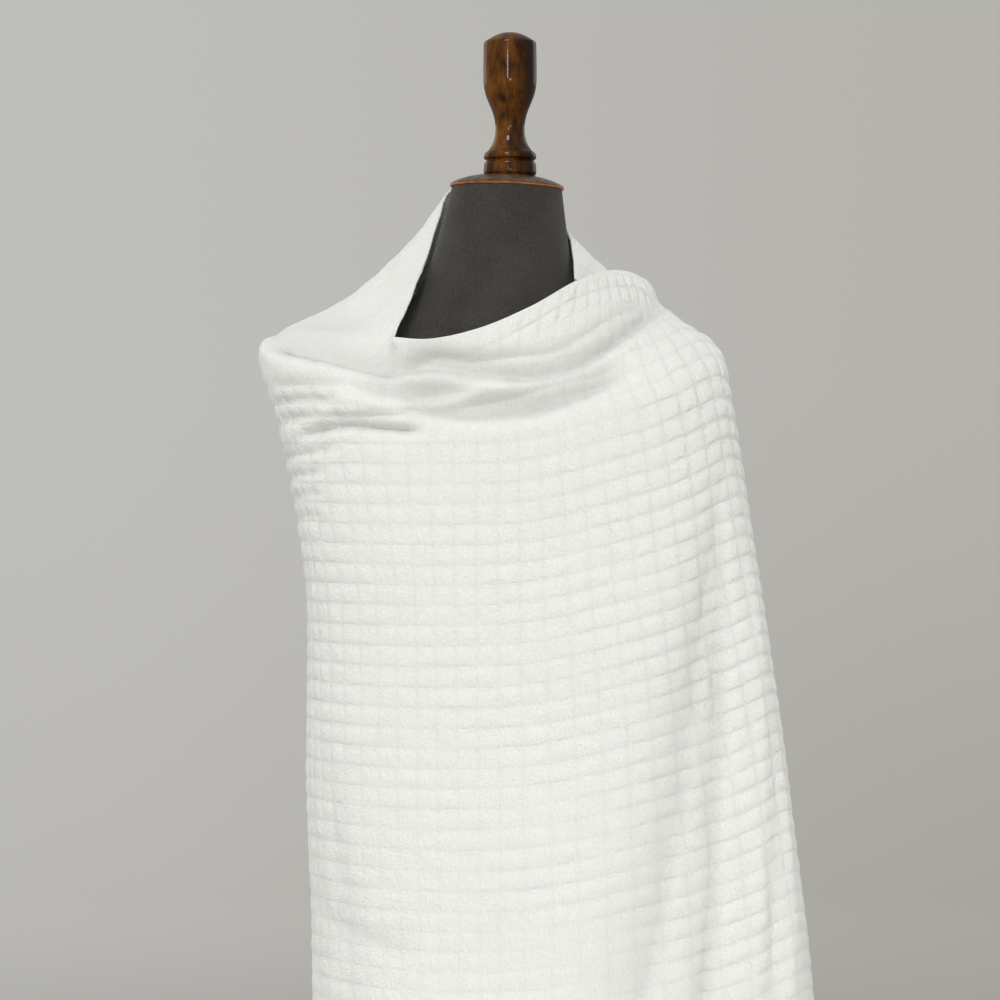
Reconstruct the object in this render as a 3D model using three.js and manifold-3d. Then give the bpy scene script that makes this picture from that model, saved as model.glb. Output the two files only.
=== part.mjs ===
// An ihram cloth, the upper wrap or rida, wound round a limbless dress form on its stand.
// Millimetres, +Z up. The origin is the middle of the stand's underside and the form faces -Y. Left and right
// are those of somebody who stands in front of it: left is -X.
import * as THREE from "three";
import Module from "manifold-3d";
import { mergeVertices } from "three/addons/utils/BufferGeometryUtils.js";

// ---- Driving dimensions: the cloth ----
const CLOTH_WALL = 2.4; // thickness of the waffle cloth
const TURN_LENGTH = 1200; // of cloth in one turn, at its middle section
const HEM_BELOW_DATUM = 880; // along the cloth, from the section that its rows are measured from
const SEAM_GAP = 0.5; // between two stretches of the cloth, in a plan of its middle surface
const LAYER_LIFT = { high: 7, from: 0.8, to: 0.94 }; // the front rises off the layer under it between these
const THROW = { from: 0.97, to: 1.06, drop: 108 }; // the front comes down on the cloth's start between these
const COLLAR_SAG = { left: 28.5, right: 0 }; // how far the cloth sinks between its edge and each shoulder
const FRONT_SAG = { left: 28.5, right: 10 }; // the same under the front's edge

// ---- Driving dimensions: the form, its cap and finial, and its stand ----
const TORSO_BOTTOM = 800;
const NECK_TOP = 1576; // height of the middle of the neck's flat top
const NECK_TILT = 2 * Math.PI / 180; // the neck's top drops this much to the right
const TOUCH_GAP = 0.3; // between hard parts that stand on each other
const CAP_RADIUS = 57;
const CAP_EDGE = 2.5; // height of the cap's upright edge
const CAP_DOME = 12.5; // height of the dome over it
const CAP_ROUNDING = 1;
const CAP_FLATNESS = 0.75; // 0.5 is a round dome, 1 a parabola that is thin at its edge
const CAP_ACROSS = -2; // the neck leans, so that its top is not quite over the pole
const SEAT_HEIGHT = 1588; // the flat on the neck cap that the finial stands on
const FINIAL_TALL = 144;
const FINIAL_ACROSS = 1;
const PLATE_THICK = 12;
const PLATE_INSET = 14; // of the bottom plate's edge from the torso's
const SOCKET_TALL = 46;
const POLE_RADIUS = 16;
const BOSS_TALL = 28; // the part of the base that the pole stands on
const BASE_RADIUS = 190;
const BASE_THICK = 22;

// ---- How finely everything is faceted ----
const ROWS_ABOVE_DATUM = 13;
const ROWS_BELOW_DATUM = 12;
const LINE_STEPS = 240; // places along one fall of the cloth
const EVEN_STEPS = 400; // in each quarter of the section that a turn is measured on
const FORM_SIDES = 44;
const FORM_RINGS = 30;
const TURNED_SIDES = 28;

// ---- The dress form: level sections of the padded torso and neck, from the bottom up ----
// left, right, front and back are the reach to each side of the axis, square is the plan's roundness.
const FORM_SECTIONS = [
  { height: TORSO_BOTTOM, left: 160, right: 160, front: 100, back: 104, square: 2.3 },
  { height: 830, left: 169, right: 169, front: 108, back: 106, square: 2.3 },
  { height: 900, left: 173, right: 173, front: 112, back: 109, square: 2.3 },
  { height: 980, left: 166, right: 166, front: 110, back: 106, square: 2.3 },
  { height: 1090, left: 152, right: 152, front: 104, back: 98, square: 2.3 },
  { height: 1190, left: 163, right: 163, front: 112, back: 102, square: 2.4 },
  { height: 1280, left: 182, right: 182, front: 121, back: 110, square: 2.5 },
  { height: 1340, left: 191, right: 191, front: 113, back: 112, square: 2.5 },
  { height: 1380, left: 199, right: 199, front: 100, back: 109, square: 2.4 },
  { height: 1404, left: 195, right: 195, front: 91, back: 102, square: 2.3 },
  { height: 1422, left: 178, right: 182, front: 83, back: 93, square: 2.2 },
  { height: 1438, left: 149.5, right: 148.5, front: 76, back: 83, square: 2.1 },
  { height: 1452, left: 117, right: 105, front: 70, back: 74, square: 2 },
  { height: 1468, left: 96, right: 73, front: 67, back: 68, square: 2 },
  { height: 1488, left: 84, right: 63.5, front: 62, back: 63, square: 2 },
  { height: 1515, left: 75, right: 60.5, front: 59, back: 58, square: 2 },
  { height: 1545, left: 66, right: 57, front: 58, back: 54, square: 2 },
  { height: NECK_TOP, left: 57.5, right: 53.5, front: 57, back: 52, square: 2 },
];
const REACHES = ["left", "right", "front", "back", "square"];
const NECK_LEAN_TALL = 60; // the sections take up the neck's tilt over this height
const BODY_SHARE = { rings: 0.4, height: 0.72 }; // this share of the rings serves this share of the height

// ---- The cloth's top edge, in turns from the right shoulder by the back, the left side and the front ----
// The edge stands up behind the neck, comes down its left side and turns a corner into the front neckline.
const COLLAR_EDGE = [
  { turn: -0.04, across: 65.5, deep: -34, height: 1483 },
  { turn: 0.0, across: 65, deep: -12, height: 1503 },
  { turn: 0.04, across: 62, deep: 10, height: 1526 },
  { turn: 0.1, across: 55, deep: 34, height: 1540 },
  { turn: 0.16, across: 44, deep: 54, height: 1550 },
  { turn: 0.23, across: 18, deep: 72, height: 1565 },
  { turn: 0.31, across: -24, deep: 76, height: 1579 },
  { turn: 0.38, across: -58, deep: 64, height: 1581 },
  { turn: 0.44, across: -69, deep: 38, height: 1553 },
  { turn: 0.5, across: -82, deep: -5, height: 1506 },
  { turn: 0.56, across: -90, deep: -42, height: 1480 },
  { turn: 0.61, across: -101, deep: -77, height: 1449 },
  { turn: 0.655, across: -114, deep: -104, height: 1422 },
];
const FRONT_EDGE = [
  { turn: 0.655, across: -114, deep: -104, height: 1422 },
  { turn: 0.685, across: -77, deep: -113, height: 1420 },
  { turn: 0.725, across: -28, deep: -114, height: 1430 },
  { turn: 0.765, across: 20, deep: -106, height: 1451 },
  { turn: 0.81, across: 64, deep: -84, height: 1477 },
  { turn: 0.885, across: 102, deep: -38, height: 1489 },
  { turn: 0.965, across: 131, deep: -4, height: 1480 },
  { turn: 1.02, across: 139, deep: 22, height: 1472 },
  { turn: 1.06, across: 134, deep: 48, height: 1474 },
];

// ---- The cloth's sections under that edge. Each is a closed ring with its own height on every side ----
const CLOTH_SECTIONS = [
  { down: 0.24, left: 246, right: 198, front: 129, back: 116, atLeft: 1424, atRight: 1413, atFront: 1368,
    atBack: 1443, square: 2.3 },
  { down: 0.36, left: 225, right: 214, front: 137, back: 124, atLeft: 1319, atRight: 1368, atFront: 1317,
    atBack: 1345, square: 2.6 },
  { down: 0.5, left: 200, right: 242, front: 141, back: 126, atLeft: 1170, atRight: 1190, atFront: 1165,
    atBack: 1180, square: 2.7 },
  { down: 0.68, left: 195, right: 276, front: 138, back: 130, atLeft: 965, atRight: 965, atFront: 965,
    atBack: 965, square: 2.7 },
  { down: 0.84, left: 188, right: 298, front: 136, back: 132, atLeft: 770, atRight: 770, atFront: 770,
    atBack: 770, square: 2.7 },
  { down: 1.2, left: 196, right: 322, front: 142, back: 138, atLeft: 330, atRight: 330, atFront: 330,
    atBack: 330, square: 2.6 },
];
const SAG_PLACE = 1 / 3; // of the way from the edge to the shoulder's tip, where the cloth has sunk most
const DATUM_DOWN = 0.36; // the section that the waffle's rows and the hem are measured from
const MIDDLE_DOWN = 0.5; // the section whose girth a turn is measured on

// How much higher than that section's level the rows and the hem run, from the front over the right side.
const ROW_RISE = [
  { turn: 0.66, rise: 0 },
  { turn: 0.7, rise: 0 },
  { turn: 0.76, rise: 3 },
  { turn: 0.83, rise: 16 },
  { turn: 0.895, rise: 21 },
  { turn: 0.94, rise: 23 },
  { turn: 0.97, rise: 14 },
  { turn: 1.04, rise: 0 },
  { turn: 1.08, rise: 0 },
];

// ---- Folds: swags run across the chest and falls run down. A rise stands out, and sinks in when below 0 ----
// A swag's middle runs through three points of the front, and its crease is wide to either side.
const SWAGS = [
  { name: "shoulder tuck", x0: -245, z0: 1423, x1: -182, z1: 1410, x2: -105, z2: 1391, wide: 11, rise: -9 },
  { name: "under the neck band", x0: -120, z0: 1392, x1: 20, z1: 1393, x2: 132, z2: 1446, wide: 14, rise: -11 },
  { name: "ridge under the band", x0: -60, z0: 1372, x1: 40, z1: 1383, x2: 150, z2: 1426, wide: 11, rise: 5 },
  { name: "middle crease", x0: -120, z0: 1358, x1: -20, z1: 1353, x2: 125, z2: 1394, wide: 11, rise: -11 },
  { name: "left hollow", x0: -165, z0: 1378, x1: -100, z1: 1367, x2: -20, z2: 1374, wide: 11, rise: -9 },
  { name: "left crease", x0: -214, z0: 1325, x1: -150, z1: 1335, x2: -76, z2: 1330, wide: 9, rise: -9 },
  { name: "lower left swoop", x0: -200, z0: 890, x1: -160, z1: 845, x2: -80, z2: 828, wide: 14, rise: -4 },
];
const SWAG_FADE = 45; // a swag dies out over this length at both ends
const SWAG_BEHIND = 30; // swags reach this far behind the middle of the sides
const SWAG_FULL = 40; // and have their full depth this far in front of it
// A fall's middle runs through the turns t0, t1 and t2 at the heights z0, z1 and z2.
const FALLS = [
  { name: "diagonal valley", t0: 0.932, z0: 1330, t1: 0.866, z1: 985, t2: 0.795, z2: 500, wide: 25, rise: -14 },
  { name: "valleys' ridge", t0: 0.915, z0: 1100, t1: 0.878, z1: 900, t2: 0.825, z2: 450, wide: 18, rise: 4 },
  { name: "side crease", t0: 0.937, z0: 1345, t1: 0.89, z1: 985, t2: 0.848, z2: 450, wide: 20, rise: -12 },
  { name: "outer strip", t0: 0.966, z0: 1300, t1: 0.922, z1: 980, t2: 0.885, z2: 450, wide: 26, rise: 7 },
  { name: "right side trough", t0: 1.03, z0: 1250, t1: 1.02, z1: 900, t2: 1.0, z2: 450, wide: 20, rise: -8 },
  { name: "left edge crease", t0: 0.566, z0: 1120, t1: 0.602, z1: 950, t2: 0.61, z2: 500, wide: 14, rise: -6 },
  { name: "left side roll", t0: 0.51, z0: 1250, t1: 0.52, z1: 900, t2: 0.53, z2: 450, wide: 24, rise: 6 },
  { name: "left back trough", t0: 0.45, z0: 1300, t1: 0.44, z1: 950, t2: 0.435, z2: 450, wide: 22, rise: -12 },
  { name: "left back roll", t0: 0.4, z0: 1330, t1: 0.385, z1: 950, t2: 0.38, z2: 450, wide: 26, rise: 8 },
  { name: "back trough", t0: 0.345, z0: 1380, t1: 0.33, z1: 950, t2: 0.325, z2: 450, wide: 24, rise: -12 },
  { name: "back roll", t0: 0.29, z0: 1300, t1: 0.28, z1: 950, t2: 0.27, z2: 450, wide: 26, rise: 7 },
  { name: "right back trough", t0: 0.22, z0: 1350, t1: 0.225, z1: 950, t2: 0.22, z2: 450, wide: 20, rise: -10 },
  { name: "thrown end roll", t0: 0.15, z0: 1400, t1: 0.165, z1: 950, t2: 0.17, z2: 450, wide: 22, rise: 9 },
  { name: "thrown end trough", t0: 0.09, z0: 1400, t1: 0.105, z1: 950, t2: 0.11, z2: 450, wide: 20, rise: -12 },
  { name: "shoulder fall roll", t0: 0.03, z0: 1380, t1: 0.045, z1: 950, t2: 0.05, z2: 450, wide: 24, rise: 8 },
];
const FALL_FADE = 260; // a fall grows to its full depth over this height

// ---- The stretches that the cloth is built in, each from one turn to the next ----
const STRETCHES = [
  { name: "rida_tucked_end", from: -0.04, to: 0.08, columns: 5 },
  { name: "rida_back", from: 0.08, to: 0.42, columns: 19 },
  { name: "rida_left_side", from: 0.42, to: 0.6, columns: 11 },
  { name: "rida_front", from: 0.6, to: 0.86, columns: 20 },
  { name: "rida_right_side", from: 0.86, to: 1.06, columns: 18 },
  { name: "rida_thrown_end", from: 1.06, to: 1.22, columns: 9 },
];

// ---- Materials ----
const material = (color, roughness, metalness = 0) =>
  new THREE.MeshStandardMaterial({ color, roughness, metalness });
const WHITE_WAFFLE = () => material(0xecede8, 0.95);
const CHARCOAL_JERSEY = () => material(0x4c4b46, 0.95);
const DARK_WOOD = () => material(0x70411a, 0.3);
const BLACK_PAINT = () => material(0x1c1b1a, 0.45);

// ---- Small mathematics ----
const smooth = (low, high, value) => {
  const f = THREE.MathUtils.clamp((value - low) / (high - low), 0, 1);
  return f * f * (3 - 2 * f);
};
const bell = (offset, wide) => Math.exp(-((offset / wide) ** 2));

/** A smooth curve through the values of one column, at any place along another (rows in rising order). */
function along(rows, key, place, column) {
  let i = rows.findIndex((row) => row[key] > place) - 1;
  if (i === -2) i = rows.length - 2;
  i = THREE.MathUtils.clamp(i, 0, rows.length - 2);
  const slope = (n) => {
    const before = rows[Math.max(n - 1, 0)];
    const after = rows[Math.min(n + 1, rows.length - 1)];
    return (after[column] - before[column]) / (after[key] - before[key]);
  };
  const span = rows[i + 1][key] - rows[i][key];
  const f = (place - rows[i][key]) / span;
  return (
    (2 * f ** 3 - 3 * f ** 2 + 1) * rows[i][column] +
    (f ** 3 - 2 * f ** 2 + f) * span * slope(i) +
    (3 * f ** 2 - 2 * f ** 3) * rows[i + 1][column] +
    (f ** 3 - f ** 2) * span * slope(i + 1)
  );
}

/** The value at a place of the parabola through three points. */
function through(x, x0, y0, x1, y1, x2, y2) {
  return (
    (y0 * (x - x1) * (x - x2)) / ((x0 - x1) * (x0 - x2)) +
    (y1 * (x - x0) * (x - x2)) / ((x1 - x0) * (x1 - x2)) +
    (y2 * (x - x0) * (x - x1)) / ((x2 - x0) * (x2 - x1))
  );
}

// ---- Rings ----
/** A point of a plan with its own reach to each side: angle 0 is right, a quarter is back. */
function planPoint(reach, angle) {
  const c = Math.cos(angle);
  const s = Math.sin(angle);
  const power = 2 / reach.square;
  const across = c < 0 ? reach.left : reach.right;
  const deep = s < 0 ? reach.front : reach.back;
  return [Math.sign(c) * across * Math.abs(c) ** power, Math.sign(s) * deep * Math.abs(s) ** power];
}

/** Angles that step evenly along the cloth's middle section, so that a turn measures cloth and not degrees. */
const EVEN_ANGLES = [0, 1, 2, 3].map((quarter) => {
  const middle = CLOTH_SECTIONS.find((section) => section.down === MIDDLE_DOWN);
  const lengths = [0];
  let [x, y] = planPoint(middle, (quarter * Math.PI) / 2);
  for (let i = 1; i <= EVEN_STEPS; i++) {
    const [nextX, nextY] = planPoint(middle, ((quarter + i / EVEN_STEPS) * Math.PI) / 2);
    lengths.push(lengths[i - 1] + Math.hypot(nextX - x, nextY - y));
    [x, y] = [nextX, nextY];
  }
  return lengths.map((length) => length / lengths[EVEN_STEPS]);
});
function angleAt(turn) {
  const quarters = (turn - Math.floor(turn)) * 4;
  const quarter = Math.min(Math.floor(quarters), 3);
  const lengths = EVEN_ANGLES[quarter];
  const wanted = quarters - quarter;
  let i = lengths.findIndex((length) => length > wanted);
  if (i < 1) i = EVEN_STEPS;
  const f = (wanted - lengths[i - 1]) / (lengths[i] - lengths[i - 1]);
  return ((quarter + (i - 1 + f) / EVEN_STEPS) * Math.PI) / 2;
}

function sectionPoint(section, angle) {
  const [x, y] = planPoint(section, angle);
  const c = Math.cos(angle);
  const s = Math.sin(angle);
  const sideways = c < 0 ? section.atLeft : section.atRight;
  const endways = s < 0 ? section.atFront : section.atBack;
  return { x, y, z: sideways * c * c + endways * s * s };
}

function edgePoint(edge, turn) {
  const value = (column) => along(edge, "turn", turn, column);
  return { x: value("across"), y: value("deep"), z: value("height") };
}

// ---- The cloth's middle surface ----
/** One fall of the cloth at a turn, from its top edge down, as a fine line of points before any fold. */
function clothLine(turn, edge, sag) {
  const angle = angleAt(turn);
  const sections = CLOTH_SECTIONS.map((section) => ({ down: section.down, ...sectionPoint(section, angle) }));
  const top = { down: 0, ...edgePoint(edge, turn) };
  const rows = [top, saggingPoint(top, sections[0], Math.cos(angle), sag), ...sections];
  const end = rows[rows.length - 1].down;
  const line = [];
  let length = 0;
  for (let i = 0; i <= LINE_STEPS; i++) {
    const down = (end * i) / LINE_STEPS;
    const value = (column) => along(rows, "down", down, column);
    const point = new THREE.Vector3(value("x"), value("y"), value("z"));
    if (i > 0) length += point.distanceTo(line[i - 1].point);
    line.push({ down, point, length });
  }
  return line;
}

/** The cloth sinks a little between the edge and the shoulder's tip, most over the shoulders. */
function saggingPoint(top, tip, sideways, sag) {
  const between = (column) => THREE.MathUtils.lerp(top[column], tip[column], SAG_PLACE);
  const sink = sideways ** 2 * (sideways < 0 ? sag.left : sag.right);
  return { down: between("down"), x: between("x"), y: between("y"), z: between("z") - sink };
}

/** How far up its line the cloth's rows lie above the datum section at a turn. */
function rowRise(turn) {
  const place = THREE.MathUtils.clamp(turn, ROW_RISE[0].turn, ROW_RISE[ROW_RISE.length - 1].turn);
  return along(ROW_RISE, "turn", place, "rise");
}

function pointAtLength(line, length) {
  let i = line.findIndex((place) => place.length > length);
  if (i < 1) i = i === 0 ? 1 : line.length - 1;
  const f = (length - line[i - 1].length) / (line[i].length - line[i - 1].length);
  return line[i - 1].point.clone().lerp(line[i].point, f);
}

/** Points down a line from a start near its top to the hem: even steps to the datum and even steps below it. */
function pointsDown(line, start, rise) {
  const datum = line.find((place) => place.down >= DATUM_DOWN).length - rise;
  const points = [];
  for (let j = 0; j <= ROWS_ABOVE_DATUM; j++) {
    points.push(pointAtLength(line, THREE.MathUtils.lerp(start, datum, j / ROWS_ABOVE_DATUM)));
  }
  for (let j = 1; j <= ROWS_BELOW_DATUM; j++) {
    points.push(pointAtLength(line, datum + (HEM_BELOW_DATUM * j) / ROWS_BELOW_DATUM));
  }
  return points;
}

/** The points of one column. Past the right shoulder the front lies on the cloth's start, a little lower. */
function clothColumn(turn) {
  const isCollar = turn < FRONT_EDGE[0].turn;
  const line = isCollar ? clothLine(turn, COLLAR_EDGE, COLLAR_SAG) : clothLine(turn, FRONT_EDGE, FRONT_SAG);
  const own = pointsDown(line, 0, rowRise(turn));
  const share = smooth(THROW.from, THROW.to, turn);
  if (share === 0) return own;
  const under = pointsDown(clothLine(turn - 1, COLLAR_EDGE, COLLAR_SAG), THROW.drop, rowRise(turn));
  return own.map((point, j) => point.lerp(under[j], share));
}

/** How far the folds stand out at a point of the cloth. */
function foldRise(turn, point) {
  let rise = 0;
  const isFront = smooth(-SWAG_BEHIND, SWAG_FULL, -point.y);
  for (const swag of SWAGS) {
    const middle = through(point.x, swag.x0, swag.z0, swag.x1, swag.z1, swag.x2, swag.z2);
    const ends = smooth(swag.x0, swag.x0 + SWAG_FADE, point.x) * smooth(swag.x2, swag.x2 - SWAG_FADE, point.x);
    rise += swag.rise * ends * isFront * bell(point.z - middle, swag.wide);
  }
  const place = turn - Math.floor(turn);
  for (const fall of FALLS) {
    const height = Math.min(point.z, fall.z0);
    const middle = through(height, fall.z0, fall.t0, fall.z1, fall.t1, fall.z2, fall.t2);
    const away = Math.abs(place - middle);
    const offset = Math.min(away, 1 - away) * TURN_LENGTH;
    rise += fall.rise * smooth(fall.z0, fall.z0 - FALL_FADE, point.z) * bell(offset, fall.wide);
  }
  return rise;
}

/** Outward directions of a grid of points: the sum of those of the four cells round each. */
function gridNormals(grid) {
  const normals = grid.map((column) => column.map(() => new THREE.Vector3()));
  for (let i = 0; i < grid.length - 1; i++) {
    for (let j = 0; j < grid[i].length - 1; j++) {
      const rising = grid[i + 1][j].clone().sub(grid[i][j + 1]);
      const falling = grid[i + 1][j + 1].clone().sub(grid[i][j]);
      const cell = falling.cross(rising);
      for (const [a, b] of [[i, j], [i + 1, j], [i, j + 1], [i + 1, j + 1]]) normals[a][b].add(cell);
    }
  }
  return normals.map((column) => column.map((normal) => normal.normalize()));
}

function moved(grid, normals, amount) {
  return grid.map((column, i) =>
    column.map((point, j) => point.clone().addScaledVector(normals[i][j], amount(i, j))),
  );
}

/** A closed body of the cloth's thickness between two grids of points. */
function wallGeometry(outer, inner) {
  const columns = outer.length;
  const rows = outer[0].length;
  const positions = [];
  for (const grid of [outer, inner]) {
    for (const column of grid) {
      for (const point of column) positions.push(point.x, point.y, point.z);
    }
  }
  const at = (side, i, j) => side * columns * rows + i * rows + j;
  const triangles = [];
  const quad = (a, b, c, d) => triangles.push(a, b, c, a, c, d);
  for (let i = 0; i < columns - 1; i++) {
    for (let j = 0; j < rows - 1; j++) {
      quad(at(0, i, j + 1), at(0, i + 1, j + 1), at(0, i + 1, j), at(0, i, j));
      quad(at(1, i, j + 1), at(1, i, j), at(1, i + 1, j), at(1, i + 1, j + 1));
    }
  }
  for (let i = 0; i < columns - 1; i++) {
    quad(at(0, i, 0), at(0, i + 1, 0), at(1, i + 1, 0), at(1, i, 0));
    quad(at(0, i + 1, rows - 1), at(0, i, rows - 1), at(1, i, rows - 1), at(1, i + 1, rows - 1));
  }
  for (let j = 0; j < rows - 1; j++) {
    quad(at(0, 0, j + 1), at(0, 0, j), at(1, 0, j), at(1, 0, j + 1));
    const last = columns - 1;
    quad(at(0, last, j + 1), at(1, last, j + 1), at(1, last, j), at(0, last, j));
  }
  return meshGeometry(positions, triangles);
}

function meshGeometry(positions, triangles) {
  const geometry = new THREE.BufferGeometry();
  geometry.setAttribute("position", new THREE.Float32BufferAttribute(positions, 3));
  geometry.setIndex(triangles);
  geometry.computeVertexNormals();
  return geometry;
}

// ---- The parts ----
/** A stretch of a grid, with its first and last columns drawn in by half of the seam's gap. */
function stretchOf(grid, first, columns) {
  const slice = grid.slice(first, first + columns + 1);
  const drawnIn = (column, towards) =>
    column.map((point, j) => point.clone().add(towards[j].clone().sub(point).setLength(SEAM_GAP / 2)));
  return slice.map((column, i) => {
    if (i === 0) return drawnIn(column, slice[1]);
    if (i === columns) return drawnIn(column, slice[columns - 1]);
    return column;
  });
}

function cloth() {
  const turns = [STRETCHES[0].from];
  for (const { from, to, columns } of STRETCHES) {
    for (let i = 1; i <= columns; i++) turns.push(THREE.MathUtils.lerp(from, to, i / columns));
  }
  const plain = turns.map(clothColumn);
  const lift = (turn) => LAYER_LIFT.high * smooth(LAYER_LIFT.from, LAYER_LIFT.to, turn);
  const rise = (i, j) => lift(turns[i]) + foldRise(turns[i], plain[i][j]);
  const folded = moved(plain, gridNormals(plain), rise);
  const normals = gridNormals(folded);
  const outer = moved(folded, normals, () => CLOTH_WALL / 2);
  const inner = moved(folded, normals, () => -CLOTH_WALL / 2);
  let first = 0;
  return STRETCHES.map(({ name, columns }) => {
    const geometry = wallGeometry(stretchOf(outer, first, columns), stretchOf(inner, first, columns));
    first += columns;
    return named(name, geometry, WHITE_WAFFLE());
  });
}

function named(name, geometry, finish) {
  const mesh = new THREE.Mesh(geometry, finish);
  mesh.name = name;
  return mesh;
}

/** The padded torso and neck, as one body lofted through the form's sections. */
function formTorso() {
  const positions = [];
  const bottom = FORM_SECTIONS[0].height;
  for (let k = 0; k <= FORM_RINGS; k++) {
    const height = bottom + (NECK_TOP - bottom) * ringPlace(k / FORM_RINGS);
    const value = (column) => along(FORM_SECTIONS, "height", height, column);
    const reach = Object.fromEntries(REACHES.map((column) => [column, value(column)]));
    for (let i = 0; i < FORM_SIDES; i++) {
      const [x, y] = planPoint(reach, (i * 2 * Math.PI) / FORM_SIDES);
      const lean = smooth(NECK_TOP - NECK_LEAN_TALL, NECK_TOP, height) * Math.tan(NECK_TILT);
      positions.push(x, y, height - x * lean);
    }
  }
  const triangles = [];
  for (let k = 0; k < FORM_RINGS; k++) {
    for (let i = 0; i < FORM_SIDES; i++) {
      const a = k * FORM_SIDES + i;
      const b = k * FORM_SIDES + ((i + 1) % FORM_SIDES);
      triangles.push(a, b, b + FORM_SIDES, a, b + FORM_SIDES, a + FORM_SIDES);
    }
  }
  const top = FORM_RINGS * FORM_SIDES;
  for (let i = 1; i < FORM_SIDES - 1; i++) {
    triangles.push(0, i + 1, i, top, top + i, top + i + 1);
  }
  return named("form_torso", meshGeometry(positions, triangles), CHARCOAL_JERSEY());
}

/** Where a ring lies, as a share of the form's height: closer at the shoulders and neck, which turn fastest. */
function ringPlace(f) {
  const { rings, height } = BODY_SHARE;
  return f < rings ? (f * height) / rings : height + ((f - rings) * (1 - height)) / (1 - rings);
}

/** A turned part from its outline: pairs of radius and height, from the axis round to the axis. */
function turned(outline) {
  return new THREE.LatheGeometry(outline.map(([r, z]) => new THREE.Vector2(r, z)), TURNED_SIDES)
    .rotateX(Math.PI / 2);
}

/** A turned part from a table of radius and rise that starts at its foot's rim. */
function turnedFrom(table) {
  return turned([[0, table[0].rise], ...table.map(({ radius, rise }) => [radius, rise])]);
}

const DOME_RINGS = [0.97, 0.85, 0.68, 0.45, 0.2]; // shares of the cap's radius
/** The flat domed cap on the neck, with a level seat for the finial cut in its top. */
function neckCap(wasm) {
  const outline = [
    [0, 0],
    [CAP_RADIUS - CAP_ROUNDING, 0],
    [CAP_RADIUS, CAP_ROUNDING],
    [CAP_RADIUS, CAP_EDGE - CAP_ROUNDING],
  ];
  for (const share of DOME_RINGS) {
    outline.push([CAP_RADIUS * share, CAP_EDGE + CAP_DOME * (1 - share * share) ** CAP_FLATNESS]);
  }
  outline.push([0, CAP_EDGE + CAP_DOME]);
  const cap = turned(outline);
  cap.rotateY(NECK_TILT);
  cap.translate(CAP_ACROSS, 0, NECK_TOP + TOUCH_GAP - CAP_ACROSS * Math.tan(NECK_TILT));
  const wide = 4 * CAP_RADIUS;
  const tall = 2 * CAP_DOME;
  const above = new THREE.BoxGeometry(wide, wide, tall).translate(0, 0, SEAT_HEIGHT + tall / 2);
  return named("neck_cap", cut(wasm, cap, above), DARK_WOOD());
}

/** What is left of one body when another is cut away. */
function cut(wasm, body, tool) {
  const solid = (geometry) => {
    const bare = geometry.clone();
    bare.deleteAttribute("normal");
    bare.deleteAttribute("uv");
    const merged = mergeVertices(bare);
    return new wasm.Manifold(new wasm.Mesh({
      numProp: 3,
      vertProperties: new Float32Array(merged.attributes.position.array),
      triVerts: new Uint32Array(merged.index.array),
    }));
  };
  const result = solid(body).subtract(solid(tool)).getMesh();
  return meshGeometry(Array.from(result.vertProperties), Array.from(result.triVerts));
}

/** Half outline of the finial, from its foot up: radius and height above the seat. */
const FINIAL_OUTLINE = [
  { radius: 24.5, rise: 0 }, { radius: 26, rise: 3 }, { radius: 26, rise: 12 }, { radius: 24.8, rise: 14.5 },
  { radius: 24.3, rise: 16 }, { radius: 26, rise: 18 }, { radius: 26, rise: 22.5 }, { radius: 23, rise: 25.5 },
  { radius: 19, rise: 30 }, { radius: 16.6, rise: 35 }, { radius: 14.7, rise: 42 }, { radius: 14.6, rise: 49 },
  { radius: 15.6, rise: 57 }, { radius: 17.8, rise: 65 }, { radius: 21, rise: 73 }, { radius: 24.2, rise: 81 },
  { radius: 26, rise: 89 }, { radius: 26.6, rise: 96 }, { radius: 26.2, rise: 133 }, { radius: 24.6, rise: 136 },
  { radius: 17, rise: 140.5 }, { radius: 9, rise: 143.3 }, { radius: 0, rise: FINIAL_TALL },
];
function neckFinial() {
  const geometry = turnedFrom(FINIAL_OUTLINE).translate(FINIAL_ACROSS, 0, SEAT_HEIGHT + TOUCH_GAP);
  return named("neck_finial", geometry, DARK_WOOD());
}

/** The wooden plate that closes the torso's underside. */
function bottomPlate() {
  const torso = FORM_SECTIONS[0];
  const reach = {
    left: torso.left - PLATE_INSET,
    right: torso.right - PLATE_INSET,
    front: torso.front - PLATE_INSET,
    back: torso.back - PLATE_INSET,
    square: torso.square,
  };
  const shape = new THREE.Shape();
  for (let i = 0; i < FORM_SIDES; i++) {
    const [x, y] = planPoint(reach, (i * 2 * Math.PI) / FORM_SIDES);
    if (i === 0) shape.moveTo(x, y);
    else shape.lineTo(x, y);
  }
  const geometry = new THREE.ExtrudeGeometry(shape, { depth: PLATE_THICK, bevelEnabled: false });
  geometry.translate(0, 0, TORSO_BOTTOM - TOUCH_GAP - PLATE_THICK);
  return named("form_bottom_plate", geometry, DARK_WOOD());
}

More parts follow.
